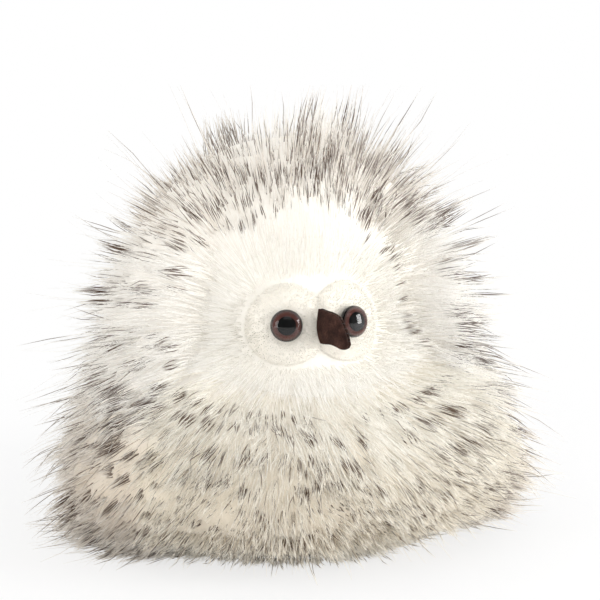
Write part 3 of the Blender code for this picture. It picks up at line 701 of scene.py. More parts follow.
stray = (rng.random(len(root)) < STRAY_SHARE + LOW_STRAY_SHARE * low_front) & ~in_tuft
lone = np.where(stray & (from_face > 0.008), STRAY_DARK, lone)
dark = rng.random(len(root)) < np.where(in_tuft, TUFT_DARK, np.where(is_face, 0.0, lone))
print("dark hairs:", int(dark.sum()), "of", len(root))

# %% Choose the colours
# Each hair's kind is its column in the colour chart: how dark its band is, and how warm its pale part is.
level_chance = 5.0 + 2.4 * chance_number(tuft, row, panel + 37) + rng.normal(size=len(root)) * 0.7
level_chance = level_chance - np.where(in_tuft, 0.0, 1.2)
level = np.where(dark, np.clip(np.round(level_chance), 3, DARK_LEVELS - 1), 0)
low_down = smooth_step(0.034 - height, 0.0, 0.026)
body_down = smooth_step(0.095 - height, 0.0, 0.050)
off_floor = smooth_step(height, 0.010, 0.028)
near_face = 1.0 - smooth_step(from_face, 0.004, 0.030)
belly_warmth = (2.6 * body_down + 3.0 * low_down) * off_floor
other_warmth = (0.8 + 3.4 * body_down + 2.4 * low_down) * (0.4 + 0.6 * off_floor)
warmth = np.select([is_face, is_belly], [0.3, belly_warmth], other_warmth) * (1.0 - 0.9 * near_face)
warmth = warmth * (1.0 - 0.4 * round_side) + 2.5 * crown_band
tint = np.clip(np.round(warmth + rng.normal(size=len(root)) * 1.1), 0, TINTS - 1)
kind = level * TINTS + tint
print("kinds of hair in use:", len(np.unique(kind)), "of", DARK_LEVELS * TINTS)

# %% [markdown]
# ## Guard hairs: how they lie
#
# A hair leaves the cloth along the skin's normal and then bends the way the pile is combed: up on the
# crown, outwards at the cheeks, down and out on the body, and away from the eyes on the face.
# The floor stops it, and it then runs on along the floor.

# %% Comb the pile
COMB_HEIGHTS = (0.0, 0.010, 0.028, 0.060, 0.080, 0.092, 0.108, 0.122, 0.134, 0.144, 0.152)
FRONT_LEANS = (-2, -4, -13, -26, -20, -8, 4, 16, 36, 60, 88)
SIDE_LEANS = (-6, -20, -32, -38, -32, -22, -8, 8, 30, 58, 88)
FRONT_LENGTHS = (0.015, 0.020, 0.038, 0.054, 0.053, 0.049, 0.045, 0.048, 0.055, 0.062, 0.065)
SIDE_LENGTHS = (0.050, 0.054, 0.059, 0.062, 0.064, 0.065, 0.066, 0.065, 0.064, 0.064, 0.064)
LEFT_LONGER = 0.10
UP = np.array([0.0, 0.0, 1.0])


def comb():
    """The direction in which each hair ends, and its length.

    On the face the hairs lie away from the eyes, flat at the discs and higher further out. At the owl's left
    they stand up more, so that they close the dip between the face and the side of the head.
    """
    lean = np.radians(by_height(COMB_HEIGHTS, FRONT_LEANS, SIDE_LEANS, azimuth, height))
    out = unit(normal * (1.0 - UP))
    body_way = out * np.cos(lean)[:, None] + UP * np.sin(lean)[:, None]
    body_length = by_height(COMB_HEIGHTS, FRONT_LENGTHS, SIDE_LENGTHS, azimuth, height)
    flat = unit(eye_way - np.sum(eye_way * normal, axis=-1, keepdims=True) * normal)
    past_rim = np.clip((eye_distance - EYE_DISC_RADIUS) / 0.026, 0.0, 1.0)
    left_rim = is_face * smooth_step(degrees, 20.0, 42.0) * smooth_step(height, 0.072, 0.084)
    lift = np.radians(20.0 + 34.0 * past_rim + 26.0 * left_rim)
    face_way = flat * np.cos(lift)[:, None] + normal * np.sin(lift)[:, None]
    face_length = (0.012 + 0.032 * past_rim) * (1.0 - 0.20 * left_rim)
    share = np.where(is_front, smooth_step(eye_distance, 0.032, 0.056), 1.0) * (1.0 - 0.6 * left_rim)
    way = unit(face_way * (1.0 - share)[:, None] + body_way * share[:, None])
    return way, face_length * (1.0 - share) + body_length * share


way, length = comb()
length = length * (1.0 + LEFT_LONGER * np.sin(azimuth))
print("hair length, mm:", round(1000 * length.min()), "to", round(1000 * length.max()))

# %% [markdown]
# ## Guard hairs: locks
#
# Long pile gathers in locks: neighbouring hairs lean on each other and share a tip. Each lock gets one
# guide hair, and the others are drawn towards it, more and more along their length. Broad waves in the
# combing, wider than a lock, keep the coat from looking machine-made. The crown, sides and back are ragged:
# most hairs stay short there and a few stand tall. Strays leave their lock and are longer still.

# %% Grow the hairs
FLOOR_CLEARANCE = 0.0006
LOCK_SIZE = 0.0046
LOCK_WANDER = 0.13
HAIR_WANDER = 0.10
WAVE_SIZE = 0.030
WAVE_TURN = 0.12
GROWTH_STEPS = 9


def nearest(places, targets):
    """For each place, the number of the nearest target."""
    tree = KDTree(len(targets))
    for number, target in enumerate(targets):
        tree.insert(target, number)
    tree.balance()
    return np.array([tree.find(place)[1] for place in places])


def grow(root, start, end, length):
    """Paths of hairs that turn from their start to their end direction, in an array hair by point by axis."""
    path = [root]
    step = (length / (GROWTH_STEPS - 1))[:, None]
    for segment in range(GROWTH_STEPS - 1):
        share = ((segment + 0.5) / (GROWTH_STEPS - 1)) ** 0.7
        heading = unit(start * (1.0 - share) + end * share)
        place = path[-1] + heading * step
        low = place[:, 2] < FLOOR_CLEARANCE
        level = unit(heading * (1.0 - UP))
        fall = np.maximum(path[-1][:, 2] - FLOOR_CLEARANCE, 0.0)
        run = np.sqrt(np.maximum(step[:, 0] ** 2 - fall ** 2, 0.0))
        laid = path[-1] + level * run[:, None]
        laid[:, 2] = FLOOR_CLEARANCE
        path.append(np.where(low[:, None], laid, place))
    return np.stack(path, axis=1)


waves = np.stack([lumps(root, WAVE_SIZE, seed) for seed in (11, 12, 13)], axis=1) * WAVE_TURN
pale_locks = int(AREA_BELOW[-1] / LOCK_SIZE ** 2)
guides = rng.choice(len(root), pale_locks, replace=False)
lock = nearest(root, root[guides])
print("pale locks:", pale_locks)

# %% Give every tuft a lock of its own
TUFT_CALM = 0.4
members = np.flatnonzero(in_tuft & dark)
tuft_names = (panel[members] * 64 + row[members]) * 4096 + tuft[members] + 2048
tufts, tuft_number = np.unique(tuft_names, return_inverse=True)
inner_first = np.lexsort((off_tuft[members] + off_row[members], tuft_number))
leaders = members[inner_first[np.unique(tuft_number[inner_first], return_index=True)[1]]]
lock[members] = pale_locks + tuft_number
guides = np.concatenate([guides, leaders])
loose = np.where(is_crown[guides], 0.80, 1.0)
in_lock = np.zeros(len(root), bool)
in_lock[members] = True
lock_turn = rng.normal(size=(len(guides), 3)) * LOCK_WANDER
lock_turn[pale_locks:] *= TUFT_CALM
lock_pull = np.concatenate([rng.uniform(0.15, 0.55, pale_locks), rng.uniform(0.60, 0.85, len(tufts))])
lock_pull = lock_pull * loose
lock_length = np.concatenate([rng.uniform(0.92, 1.06, pale_locks), rng.uniform(0.97, 1.03, len(tufts))])
print("tufts:", len(tufts))

# %% Let some hairs stray
stray[guides] = False
calm = np.where(is_face, 0.55, 1.0)[:, None]
start = unit(normal + 0.3 * way)
end = unit(way + (waves + lock_turn[lock] + rng.normal(size=root.shape) * HAIR_WANDER) * calm)
ragged = ~is_front | is_crown
tall = rng.random(len(guides))[lock] < np.where(is_crown, 0.10, np.where(in_lock, 0.45, 0.20))
tall |= rng.random(len(root)) < np.where(is_crown, 0.16, 0.10)
near_floor = smooth_step(0.022 - height, 0.0, 0.014)
LENGTH_SPREADS = ((0.80, 1.06), (0.60, 0.80), (0.66, 0.82), (0.82, 1.04))  # tall, crown, other ragged, front
tall_share, crown_share, short_share, front_share = [
    rng.uniform(least, most, len(root)) for least, most in LENGTH_SPREADS]
front_share = front_share - 0.40 * near_floor * rng.random(len(root))
spread = np.select([ragged & tall, ragged & is_crown, ragged],
                   [tall_share, crown_share, short_share], front_share)
spread = np.where(in_lock & ~ragged, rng.uniform(0.92, 1.00, len(root)), spread)
lengths = length * lock_length[lock] * spread
longer = np.where(stray & ~is_face, rng.uniform(1.15, 1.50, len(root)), 1.0)
lengths = lengths * longer
end = np.where((stray & ~is_face)[:, None], unit(way + waves + rng.normal(size=root.shape) * 0.20), end)
paths = grow(root, start, end, lengths)
steps = np.linspace(0.0, 1.0, GROWTH_STEPS)
pull = np.where(stray, 0.1, lock_pull[lock] * calm[:, 0])[:, None] * steps[None, :] ** 1.5
paths = paths + (paths[guides][lock] - paths) * pull[:, :, None]

# %% [markdown]
# Only the part of a hair that comes out of the underfur is made. The rest would never be seen, and the
# faces saved there pay for more hairs.

# %% Cut the hairs where they leave the underfur
HAIR_POINTS = 4
BEND_SHARE = 0.025
SUNK_SHARE = 0.88  # a hair starts this far up the underfur's depth
MOST_HIDDEN = 0.72
LEAST_STANDING = 0.002
depth, pile = underfur_depth(azimuth, rise)
standing = np.sum((paths[:, -1] - root) * pile, axis=-1)
hidden = np.clip(SUNK_SHARE * depth / np.maximum(standing, LEAST_STANDING), 0.0, MOST_HIDDEN)
shares = hidden[:, None] + (1.0 - hidden)[:, None] * np.linspace(0.0, 1.0, HAIR_POINTS)[None, :]


def along(paths, shares):
    """Points at these shares of the way along each path."""
    spot = shares * (paths.shape[1] - 1)
    first = np.minimum(spot.astype(int), paths.shape[1] - 2)
    part = (spot - first)[:, :, None]
    rows = np.arange(len(paths))[:, None]
    return paths[rows, first] * (1.0 - part) + paths[rows, first + 1] * part


visible = along(paths, shares)
bend = rng.normal(size=root.shape) * BEND_SHARE * (lengths * (1.0 - hidden))[:, None]
visible[:, 1:-1] += bend[:, None, :] * np.array([0.8, 1.0])[None, :, None]
print("share of a hair that is hidden:", round(float(hidden.mean()), 2))

# %% Shorten the hairs that reach too far
# Wisps are kept to the CAD's box, grown by 10 mm and 3% of its size. A longer hair is scaled down, so that it
# keeps its shape and its band.
ALLOWED_GAP, ALLOWED_SHARE = 0.010, 0.03
EDGE_MARGIN = 0.0015
allowed = ALLOWED_GAP + ALLOWED_SHARE * np.array(cad_high - cad_low)
low_limit = np.array(cad_low) - allowed + EDGE_MARGIN
high_limit = np.array(cad_high) + allowed - EDGE_MARGIN
low_limit[2] = FLOOR_CLEARANCE
base, reach = visible[:, :1], visible[:, 1:] - visible[:, :1]
room = np.where(reach > 0.0, high_limit - base, base - low_limit) / np.maximum(np.abs(reach), 1e-6)
room[:, :, 2] = np.where(reach[:, :, 2] > 0.0, room[:, :, 2], 1.0)
visible = base + (visible - base) * np.minimum(room.min((1, 2)), 1.0)[:, None, None]
visible[:, :, 2] = np.maximum(visible[:, :, 2], FLOOR_CLEARANCE)
print("hair tips reach, mm:", np.round(1000 * visible.min((0, 1))), np.round(1000 * visible.max((0, 1))))

# %% [markdown]
# ## Guard hairs: from curves to mesh
#
# Each hair is a curve with a tiny triangle swept along it, thinner towards the tip. Curves are the
# natural tool for this, because Blender sweeps and caps them at once. A map is kept on the mesh: across is
# the way from root to tip, and up is the hair's column in the colour chart.

# %% Sweep hairs along their paths
HAIR_RADIUS = 0.00018  # several times a real fibre, so that each hair stands for a few
TUBE_SIDES = 3
MOST_HAIRS = 9000


def hair_section():
    """A small triangle to sweep along every hair."""
    curve = bpy.data.curves.new("hair_section", "CURVE")
    curve.dimensions = "2D"
    spline = curve.splines.new("POLY")
    spline.points.add(TUBE_SIDES - 1)
    spline.use_cyclic_u = True
    for number, point in enumerate(spline.points):
        angle = -math.tau * number / TUBE_SIDES
        point.co = (HAIR_RADIUS * math.cos(angle), HAIR_RADIUS * math.sin(angle), 0.0, 1.0)
    section = bpy.data.objects.new("hair_section", curve)
    bpy.context.scene.collection.objects.link(section)
    return section


def sweep(paths, radii):
    """A mesh of hairs, each one a tapered tube along its path."""
    curve = bpy.data.curves.new("hairs", "CURVE")
    curve.dimensions = "3D"
    curve.bevel_mode = "OBJECT"
    curve.bevel_object = hair_section()
    curve.use_fill_caps = True
    rows = np.concatenate([paths, np.ones(paths.shape[:2] + (1,))], axis=2).astype(np.float32)
    for spots, radius in zip(rows, radii.astype(np.float32)):
        spline = curve.splines.new("POLY")
        spline.points.add(paths.shape[1] - 1)
        spline.points.foreach_set("co", spots.ravel())
        spline.points.foreach_set("radius", radius)
    swept = bpy.data.objects.new("hairs", curve)
    bpy.context.scene.collection.objects.link(swept)
    mesh = bpy.data.meshes.new_from_object(swept.evaluated_get(bpy.context.evaluated_depsgraph_get()))
    bpy.data.objects.remove(curve.bevel_object)
    bpy.data.objects.remove(swept)
    return mesh


print("sides of a hair:", TUBE_SIDES)

# %% Make one piece of hair
CHART_MARGIN, ROW_MARGIN = 0.002, 0.2  # kept free at the ends of the chart and at the sides of each kind


def hair_piece(name, paths, radii, shares, kinds, shifts, looks):
    """A piece of hair whose map says how far along its hair, and on which kind of hair, each spot is."""
    mesh = sweep(paths, radii)
    count, points = paths.shape[:2]
    chart = mesh.uv_layers[0]
    chart.name = "OFBake"
    spots = np.zeros(len(mesh.loops) * 2, np.float32)
    chart.data.foreach_get("uv", spots)
    spots = spots.reshape(-1, 2)
    cap_corners, wall_corners = 2 * TUBE_SIDES, 4 * TUBE_SIDES * (points - 1)
    caps = cap_corners * count
    spots[:caps, 0] = np.tile(np.repeat([1.0, 0.0], TUBE_SIDES), count)
    spots[:caps, 1] = 0.5
    owner = np.concatenate([np.repeat(np.arange(count), corners) for corners in (cap_corners, wall_corners)])
    first = shares[owner, 0]
    reach = first + (shares[owner, -1] - first) * spots[:, 0] + shifts[owner]
    spots[:, 0] = np.clip(reach, CHART_MARGIN, 1.0 - CHART_MARGIN)
    within = ROW_MARGIN + (1.0 - 2.0 * ROW_MARGIN) * spots[:, 1]
    spots[:, 1] = (kinds[owner] + within) / (DARK_LEVELS * TINTS)
    chart.data.foreach_set("uv", spots.ravel())
    bm = bmesh.new()
    bm.from_mesh(mesh)
    bpy.data.meshes.remove(mesh)
    bmesh.ops.remove_doubles(bm, verts=bm.verts[:], dist=1e-6)
    return finish(name, bm, "plush", looks)


# %% [markdown]
# ## Guard hairs: their material
#
# Modacrylic pile is matt with a soft sheen, and its dark bands were sprayed on after weaving, so they fade
# in and out. A single fibre is clear enough to pass most light on, which is why white fur is bright even
# between its hairs. The chart runs from root to tip one way and through the kinds of hair the other way.

# %% Let light through the pile
def let_light_through(tree, shader, share):
    """Fibres pass on most of the light that falls on them, so a pile is bright deep inside.

    Light on its way from a lamp or another hair goes partly straight through. The camera sees solid hairs.
    """
    rays = add(tree, "LightPath")
    clear = add(tree, "BsdfTransparent")
    passing = add(tree, "MixShader", {0: share, 1: shader.outputs[0], 2: clear.outputs[0]})
    lit = add(tree, "MixShader", {0: rays.outputs["Is Shadow Ray"], 1: shader.outputs[0],
                                  2: passing.outputs[0]})
    add(tree, "MixShader", {0: rays.outputs["Is Diffuse Ray"], 1: lit.outputs[0], 2: passing.outputs[0]},
        to=tree.nodes["Material Output"].inputs["Surface"])


# %% Draw the colour chart
PASSING_SHARE = 0.86
ROOT_STOPS = ((0.30, "#FFFFFF"), (0.60, "#000000"))
BAND_STOPS = ((0.64, "#000000"), (0.74, "#FFFFFF"), (0.86, "#FFFFFF"), (0.95, "#202020"))


def pile_material(name, root_colour, pale, warm, dark):
    """Modacrylic guard hair, coloured from the chart."""
    made, tree, shader = material(name, pale, Roughness=0.75, Sheen_Weight=0.15, Sheen_Roughness=0.5,
                                  Specular_IOR_Level=0.15)
    chart = add(tree, "UVMap", uv_map="OFBake")
    split = add(tree, "SeparateXYZ", {"Vector": chart.outputs["UV"]})
    scaled = add(tree, "Math", {0: split.outputs["Y"], 1: DARK_LEVELS * TINTS}, operation="MULTIPLY")
    column = add(tree, "Math", {0: scaled.outputs[0]}, operation="FLOOR")
    by_level = add(tree, "Math", {0: column.outputs[0], 1: TINTS}, operation="DIVIDE")
    whole = add(tree, "Math", {0: by_level.outputs[0]}, operation="FLOOR")
    darkness = add(tree, "Math", {0: whole.outputs[0], 1: DARK_LEVELS - 1}, operation="DIVIDE")
    warmth = add(tree, "Math", {0: by_level.outputs[0]}, operation="FRACT")
    tinted = add(tree, "ValToRGB", {"Fac": warmth.outputs[0]}, [(0.0, pale), (1.0, warm)])
    # Painted shade: towards its root each hair turns to the root colour, a little darker and warmer, as deep
    # in the pile.
    rooted = add(tree, "ValToRGB", {"Fac": split.outputs["X"]}, ROOT_STOPS)
    body = add(tree, "Mix", {"Factor": rooted.outputs[0], COLOUR_A: tinted.outputs[0], COLOUR_B: root_colour},
               data_type="RGBA")
    band = add(tree, "ValToRGB", {"Fac": split.outputs["X"]}, BAND_STOPS)
    amount = add(tree, "Math", {0: band.outputs[0], 1: darkness.outputs[0]}, operation="MULTIPLY")
    plain = body.outputs[MIXED_COLOUR]
    colour = add(tree, "Mix", {"Factor": amount.outputs[0], COLOUR_A: plain, COLOUR_B: dark},
                 data_type="RGBA")
    tree.links.new(colour.outputs[MIXED_COLOUR], shader.inputs["Base Color"])
    let_light_through(tree, shader, PASSING_SHARE)
    return made


PILE_LOOKS = {
    "white_fur": pile_material("modacrylic_pile_white", "#F9F5EC", "#FCF9F2", "#F5EFE3", "#6A5A4C"),
    "belly_fur": pile_material("modacrylic_pile_cream", "#F9F1DF", "#FDF9EE", "#CDB998", "#5C4838"),
    "dark_tipped_fur": pile_material("modacrylic_pile_tipped", "#F9F4EA", "#FCF9F3", "#C8B6A0", "#584538"),
}
print("pile finishes:", list(PILE_LOOKS))

# %% Make all the hair
TAPER = np.array([0.9, 1.0, 0.85, 0.3])
DARK_HAIR_WIDTH, PALE_HAIR_WIDTH = 1.55, 0.80
STRAY_WIDTH = 0.8
width_chance = np.where(stray, STRAY_WIDTH, rng.uniform(0.8, 1.15, len(root)))
bold = np.where(dark, DARK_HAIR_WIDTH, PALE_HAIR_WIDTH) * width_chance
radii = TAPER[None, :] * bold[:, None]
shifts = rng.uniform(-0.04, 0.04, len(root))
for number, name in enumerate(PANEL_NAMES):
    slot = PANELS[name][3]
    chosen = np.flatnonzero(panel == number)
    for part, members in enumerate(np.array_split(chosen, math.ceil(len(chosen) / MOST_HAIRS))):
        piece = hair_piece(f"pile_{name}_{part + 1}", visible[members], radii[members], shares[members],
                           kind[members], shifts[members], PILE_LOOKS[slot])
        print(piece.name, "hairs:", len(members))

# %% [markdown]
# ## Eye discs
#
# Round each eye lies a disc of sheared plush: pile cut to about 2 mm, peach-cream, so that the eyes stand
# in a calm patch. The two discs meet in a straight seam under the beak. Each is a ring of cloth bent over
# the skin, and short hairs on it make its edge soft.

# %% Find places on the discs
DISC_THICKNESS = 0.0030
DISC_TOP = FACE_BACKING + FLOOR_GAP + DISC_THICKNESS
DISC_HOLE = 0.0025
EYE_WIDTH = float(outline_at(EYE_RISE, 1))


def disc_spot(side, angle, out):
    """Azimuth and rise of a place on a disc, from its hole to its edge or the middle seam."""
    towards_seam = np.maximum(np.cos(angle), 1e-6)
    to_seam = (EYE_WIDTH * EYE_AZIMUTH - SEAM_GAP / 2.0) / towards_seam
    reach = DISC_HOLE + (np.minimum(EYE_DISC_RADIUS, to_seam) - DISC_HOLE) * out
    azimuth = side * (EYE_AZIMUTH - reach * np.cos(angle) / EYE_WIDTH)
    return azimuth, EYE_RISE + reach * np.sin(angle) / SKIN_LENGTH


def disc_surface(side, angle, out, height):
    """Points of a disc at a height over the skin."""
    azimuth, rise = disc_spot(side, angle, out)
    return skin_points(azimuth, rise) + skin_normals(azimuth, rise) * height[:, None]


print("the discs' top over the skin, mm:", round(1000 * DISC_TOP, 2))


# %% Draw the sheared plush
def plush_material(name, light, shade):
    """Sheared plush: a matt, velvety face with a faint nap."""
    made, tree, shader = material(name, light, Roughness=0.95, Sheen_Weight=0.6, Sheen_Roughness=0.4,
                                  Specular_IOR_Level=0.1)
    spot = add(tree, "TexCoord").outputs["Object"]
    nap = add(tree, "TexNoise", {"Vector": spot, "Scale": 900.0, "Detail": 3.0, "Roughness": 0.7})
    broad = add(tree, "TexNoise", {"Vector": spot, "Scale": 120.0, "Detail": 2.0})
    both = add(tree, "Math", {0: nap.outputs["Fac"], 1: broad.outputs["Fac"]}, operation="ADD")
    half = add(tree, "Math", {0: both.outputs[0], 1: 0.5}, operation="MULTIPLY")
    pattern_to(tree, shader, half.outputs[0], [(0.35, shade), (0.62, light)], nap.outputs["Fac"], 0.3, 0.0005)
    return made


plush = plush_material("sheared_plush_peach", "#F4EFE5", "#F1EBDF")
plush_pile = plush_material("sheared_plush_pile", "#F8F4EA", "#F6F1E6")
let_light_through(plush_pile.node_tree, plush_pile.node_tree.nodes["Principled BSDF"], PASSING_SHARE)
print("plush finishes:", plush.name, plush_pile.name)

# %% Make the eye discs
SIDES = ((1, "left"), (-1, "right"))
DISC_PILE_SHARE = 0.62
DISC_HAIRS = 3200
DISC_HAIR_LENGTH = 0.0020
RIM_FROM, RIM_THINNING = 0.66, 0.85  # the cloth thins towards its edge, so that its rim is soft
HAIR_SINK, RIM_SINK = 0.0014, 0.0013
for side, name in SIDES:
    def place(around, out, through, side=side):
        """A point of this disc's cloth."""
        rounding = 1.0 - RIM_THINNING * smooth_step(out, RIM_FROM, 1.0)
        height = FACE_BACKING + FLOOR_GAP + DISC_THICKNESS * DISC_PILE_SHARE * through * rounding
        return disc_surface(side, math.tau * around, out, height)

    disc = finish("plush_disc_" + name, slab(72, 12, place, ring=True), "plush", plush)
    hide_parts("eye_disc_" + name)
    angle, out = math.tau * rng.random(DISC_HAIRS), np.sqrt(rng.random(DISC_HAIRS))
    foot = disc_surface(side, angle, out, DISC_TOP - HAIR_SINK - RIM_SINK * smooth_step(out, RIM_FROM, 1.0))
    disc_azimuth, disc_rise = disc_spot(side, angle, out)
    outward = skin_normals(disc_azimuth, disc_rise)
    away = unit(foot - EYE_SPOTS[1 if side > 0 else 0])
    heading = unit(outward + away * 0.9 * (out ** 2)[:, None] + rng.normal(size=foot.shape) * 0.22)
    reach = DISC_HAIR_LENGTH * rng.uniform(0.7, 1.15, len(out))[:, None]
    short = np.stack([foot, foot + heading * reach * 0.55, foot + unit(heading + away * 0.3) * reach], axis=1)
    count = len(short)
    taper, steps_along = [np.tile(values, (count, 1)) for values in ([1.0, 0.85, 0.4], [0.0, 0.5, 1.0])]
    hair_piece("plush_pile_" + name, short, taper * 0.6, steps_along, np.zeros(count), np.zeros(count),
               plush_pile)
print("disc hairs:", 2 * DISC_HAIRS)

# %% [markdown]
# ## Safety eyes
#
# A safety eye is a clear acrylic dome, painted brown on its back round a black middle, on a black ribbed
# post that goes through the cloth into a washer. The dome is turned: its outline is spun once round the
# eye's axis. The post and washer come from the CAD as they are.

# %% Set up the eyes' axes
LENS_RADIUS = 0.0075
LENS_HEIGHT = 0.0056
LENS_RIM_HEIGHT = 0.0012
FLANGE_TOP = FLOOR_GAP + 0.0012
PUPIL_HEIGHT = 0.0011


def eye_axes(side):
    """Where an eye sits on its disc, with its +Z out of the head."""
    azimuth, rise = np.array([side * EYE_AZIMUTH]), np.array([EYE_RISE])
    out = Vector(skin_normals(azimuth, rise)[0])
    across = Vector((0.0, 0.0, 1.0)).cross(out).normalized()
    axes = Matrix((across, out.cross(across), out)).transposed().to_4x4()
    return Matrix.Translation(Vector(skin_points(azimuth, rise)[0]) + out * DISC_TOP) @ axes


def turned(profile, facets, axes):
    """Spin an outline of (radius, height) points into a closed solid on an axis."""
    bm = bmesh.new()
    verts = [bm.verts.new((radius, 0.0, height)) for radius, height in profile]
    edges = [bm.edges.new(pair) for pair in zip(verts, verts[1:])]
    bmesh.ops.spin(bm, geom=verts + edges, axis=(0, 0, 1), cent=(0, 0, 0), angle=math.tau, steps=facets,
                   use_merge=True)
    bmesh.ops.remove_doubles(bm, verts=bm.verts[:], dist=1e-6)
    bmesh.ops.recalc_face_normals(bm, faces=bm.faces[:])
    bmesh.ops.transform(bm, matrix=axes, verts=bm.verts[:])
    return bm


print("left eye at, mm:", [round(1000 * side, 1) for side in eye_axes(1).translation])

# %% Make the domes
DOME_STEPS = 24
EYE_FACETS = 96
LENS_EDGE_ROUND = 0.0003

# Cast acrylic: clear and glossy, with a faint haze from handling that softens its one highlight.
acrylic, tree, shader = material("cast_acrylic", "#FFFFFF", Roughness=0.03, IOR=1.49, Transmission_Weight=1.0)
spot = add(tree, "TexCoord").outputs["Object"]
haze = add(tree, "TexNoise", {"Vector": spot, "Scale": 1500.0, "Detail": 2.0})
add(tree, "MapRange", {"Value": haze.outputs["Fac"], "To Min": 0.015, "To Max": 0.05},
    to=shader.inputs["Roughness"])

dome = [(0.0, FLOOR_GAP), (LENS_RADIUS - LENS_EDGE_ROUND, FLOOR_GAP)]
dome.append((LENS_RADIUS, FLOOR_GAP + LENS_EDGE_ROUND))
rim = FLOOR_GAP + LENS_RIM_HEIGHT
for step in range(DOME_STEPS + 1):
    angle = math.radians(90.0) * step / DOME_STEPS
    dome.append((LENS_RADIUS * math.cos(angle), rim + (LENS_HEIGHT - LENS_RIM_HEIGHT) * math.sin(angle)))
dome[-1] = (0.0, dome[-1][1])
for side, name in SIDES:
    lens = finish("lens_" + name, turned(dome, EYE_FACETS, eye_axes(side)), "eye_" + name, acrylic)
    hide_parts("eye_lens_" + name)
print("dome outline points:", len(dome))

# %% Paint the irises
IRIS_THICKNESS = 0.00015
IRIS_INSIDE, IRIS_RADIUS = 0.0041, 0.0069
IRIS_STOPS = ((0.0, "#1E0E0B"), (0.35, "#6A3A31"), (0.8, "#66382F"), (1.0, "#3A1D18"))

# Back-painted iris: brown enamel seen through the dome, with faint rings, darkest where it ends.
paint, tree, shader = material("back_painted_iris", "#5A332C", Roughness=0.45)
chart = add(tree, "Attribute", attribute_name="ring_share")
rings = add(tree, "TexNoise", {"W": chart.outputs["Fac"], "Scale": 22.0, "Detail": 2.0},
            noise_dimensions="1D")
tone = add(tree, "MapRange", {"Value": rings.outputs["Fac"], "From Min": 0.3, "From Max": 0.7,
                              "To Max": 0.35})
falling = add(tree, "Math", {0: chart.outputs["Fac"], 1: tone.outputs["Result"]}, operation="ADD")
pattern_to(tree, shader, falling.outputs[0], IRIS_STOPS)
iris_low = FLANGE_TOP + PUPIL_HEIGHT + FLOOR_GAP / 3
iris_high = iris_low + IRIS_THICKNESS
iris = [(IRIS_INSIDE, iris_low), (IRIS_RADIUS, iris_low), (IRIS_RADIUS, iris_high), (IRIS_INSIDE, iris_high)]
for side, name in SIDES:
    axes = eye_axes(side)
    ring = finish("iris_" + name, turned(iris + iris[:1], EYE_FACETS, axes), "eye_" + name, paint)
    share = ring.data.attributes.new("ring_share", "FLOAT", "POINT")
    radii_here = [(axes.inverted() @ vert.co).to_2d().length for vert in ring.data.vertices]
    width = IRIS_RADIUS - IRIS_INSIDE
    share.data.foreach_set("value", [(radius - IRIS_INSIDE) / width for radius in radii_here])
print("iris width, mm:", round(1000 * (IRIS_RADIUS - IRIS_INSIDE), 1))

# %% Dress the posts and washers
# Moulded black nylon: near black and hardly glossy, so that the pupil reads as a hole.
nylon, tree, shader = material("moulded_black_nylon", "#070707", Roughness=0.35, Specular_IOR_Level=0.06)
spot = add(tree, "TexCoord").outputs["Object"]
grain = add(tree, "TexNoise", {"Vector": spot, "Scale": 2500.0, "Detail": 3.0})
add(tree, "MapRange", {"Value": grain.outputs["Fac"], "To Min": 0.28, "To Max": 0.48},
    to=shader.inputs["Roughness"])
pattern_to(tree, shader, grain.outputs["Fac"], [(0.3, "#050505"), (0.7, "#0B0B0B")])

# Moulded polyethylene: milky and waxy, a little clouded where it flowed.
polyethylene, tree, shader = material("moulded_polyethylene", "#E9E9E4", Roughness=0.4, IOR=1.51)
spot = add(tree, "TexCoord").outputs["Object"]
flow = add(tree, "TexNoise", {"Vector": spot, "Scale": 700.0, "Detail": 4.0})
pattern_to(tree, shader, flow.outputs["Fac"], [(0.3, "#DEDED8"), (0.7, "#F0F0EC")])
for node, looks in (("eye_post", nylon), ("eye_washer", polyethylene)):
    for name in ("left", "right"):
        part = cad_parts[f"{node}_{name}"]
        for material_slot in part.material_slots:
            material_slot.material = looks
print("posts and washers dressed")

# %% [markdown]
# ## Beak
#
# The beak is two pieces of dark brown suedette, sewn together along the ridge and the lower edge and
# stuffed with a pinch of wadding. Each side is a slab bent to the cut of the cloth. The sewing thread is
# pulled tight, so it shows as a row of small stitches along the ridge.

# %% Describe the beak
BEAK_LENGTH = 0.0205
BEAK_HALF_HEIGHT = 0.0082
BEAK_BULGE = 0.0014
BEAK_FABRIC = 0.0009
BEAK_LEAN = math.radians(17.0)
BEAK_DROOP = math.radians(8.0)
BEAK_STEPS = 10
RIDGE_SHARES = (
    (0.000, 0.800), (0.200, 0.810), (0.400, 0.840), (0.580, 0.830), (0.740, 0.700), (0.870, 0.320),
    (0.960, -0.100), (1.000, -0.450),
)
LOWER_EDGE_SHARES = (
    (0.000, -1.130), (0.160, -1.020), (0.360, -0.900), (0.560, -0.880), (0.720, -0.900), (0.860, -0.800),
    (0.950, -0.660),
)


def beak_edge(shares, across):
    """Points on the beak's ridge or lower edge, as lengths out and up."""
    curve = smooth_curve(shares, BEAK_STEPS)
    out, up = [np.interp(across, np.linspace(0.0, 1.0, len(curve)), column) for column in curve.T]
    return BEAK_LENGTH * out, BEAK_HALF_HEIGHT * up


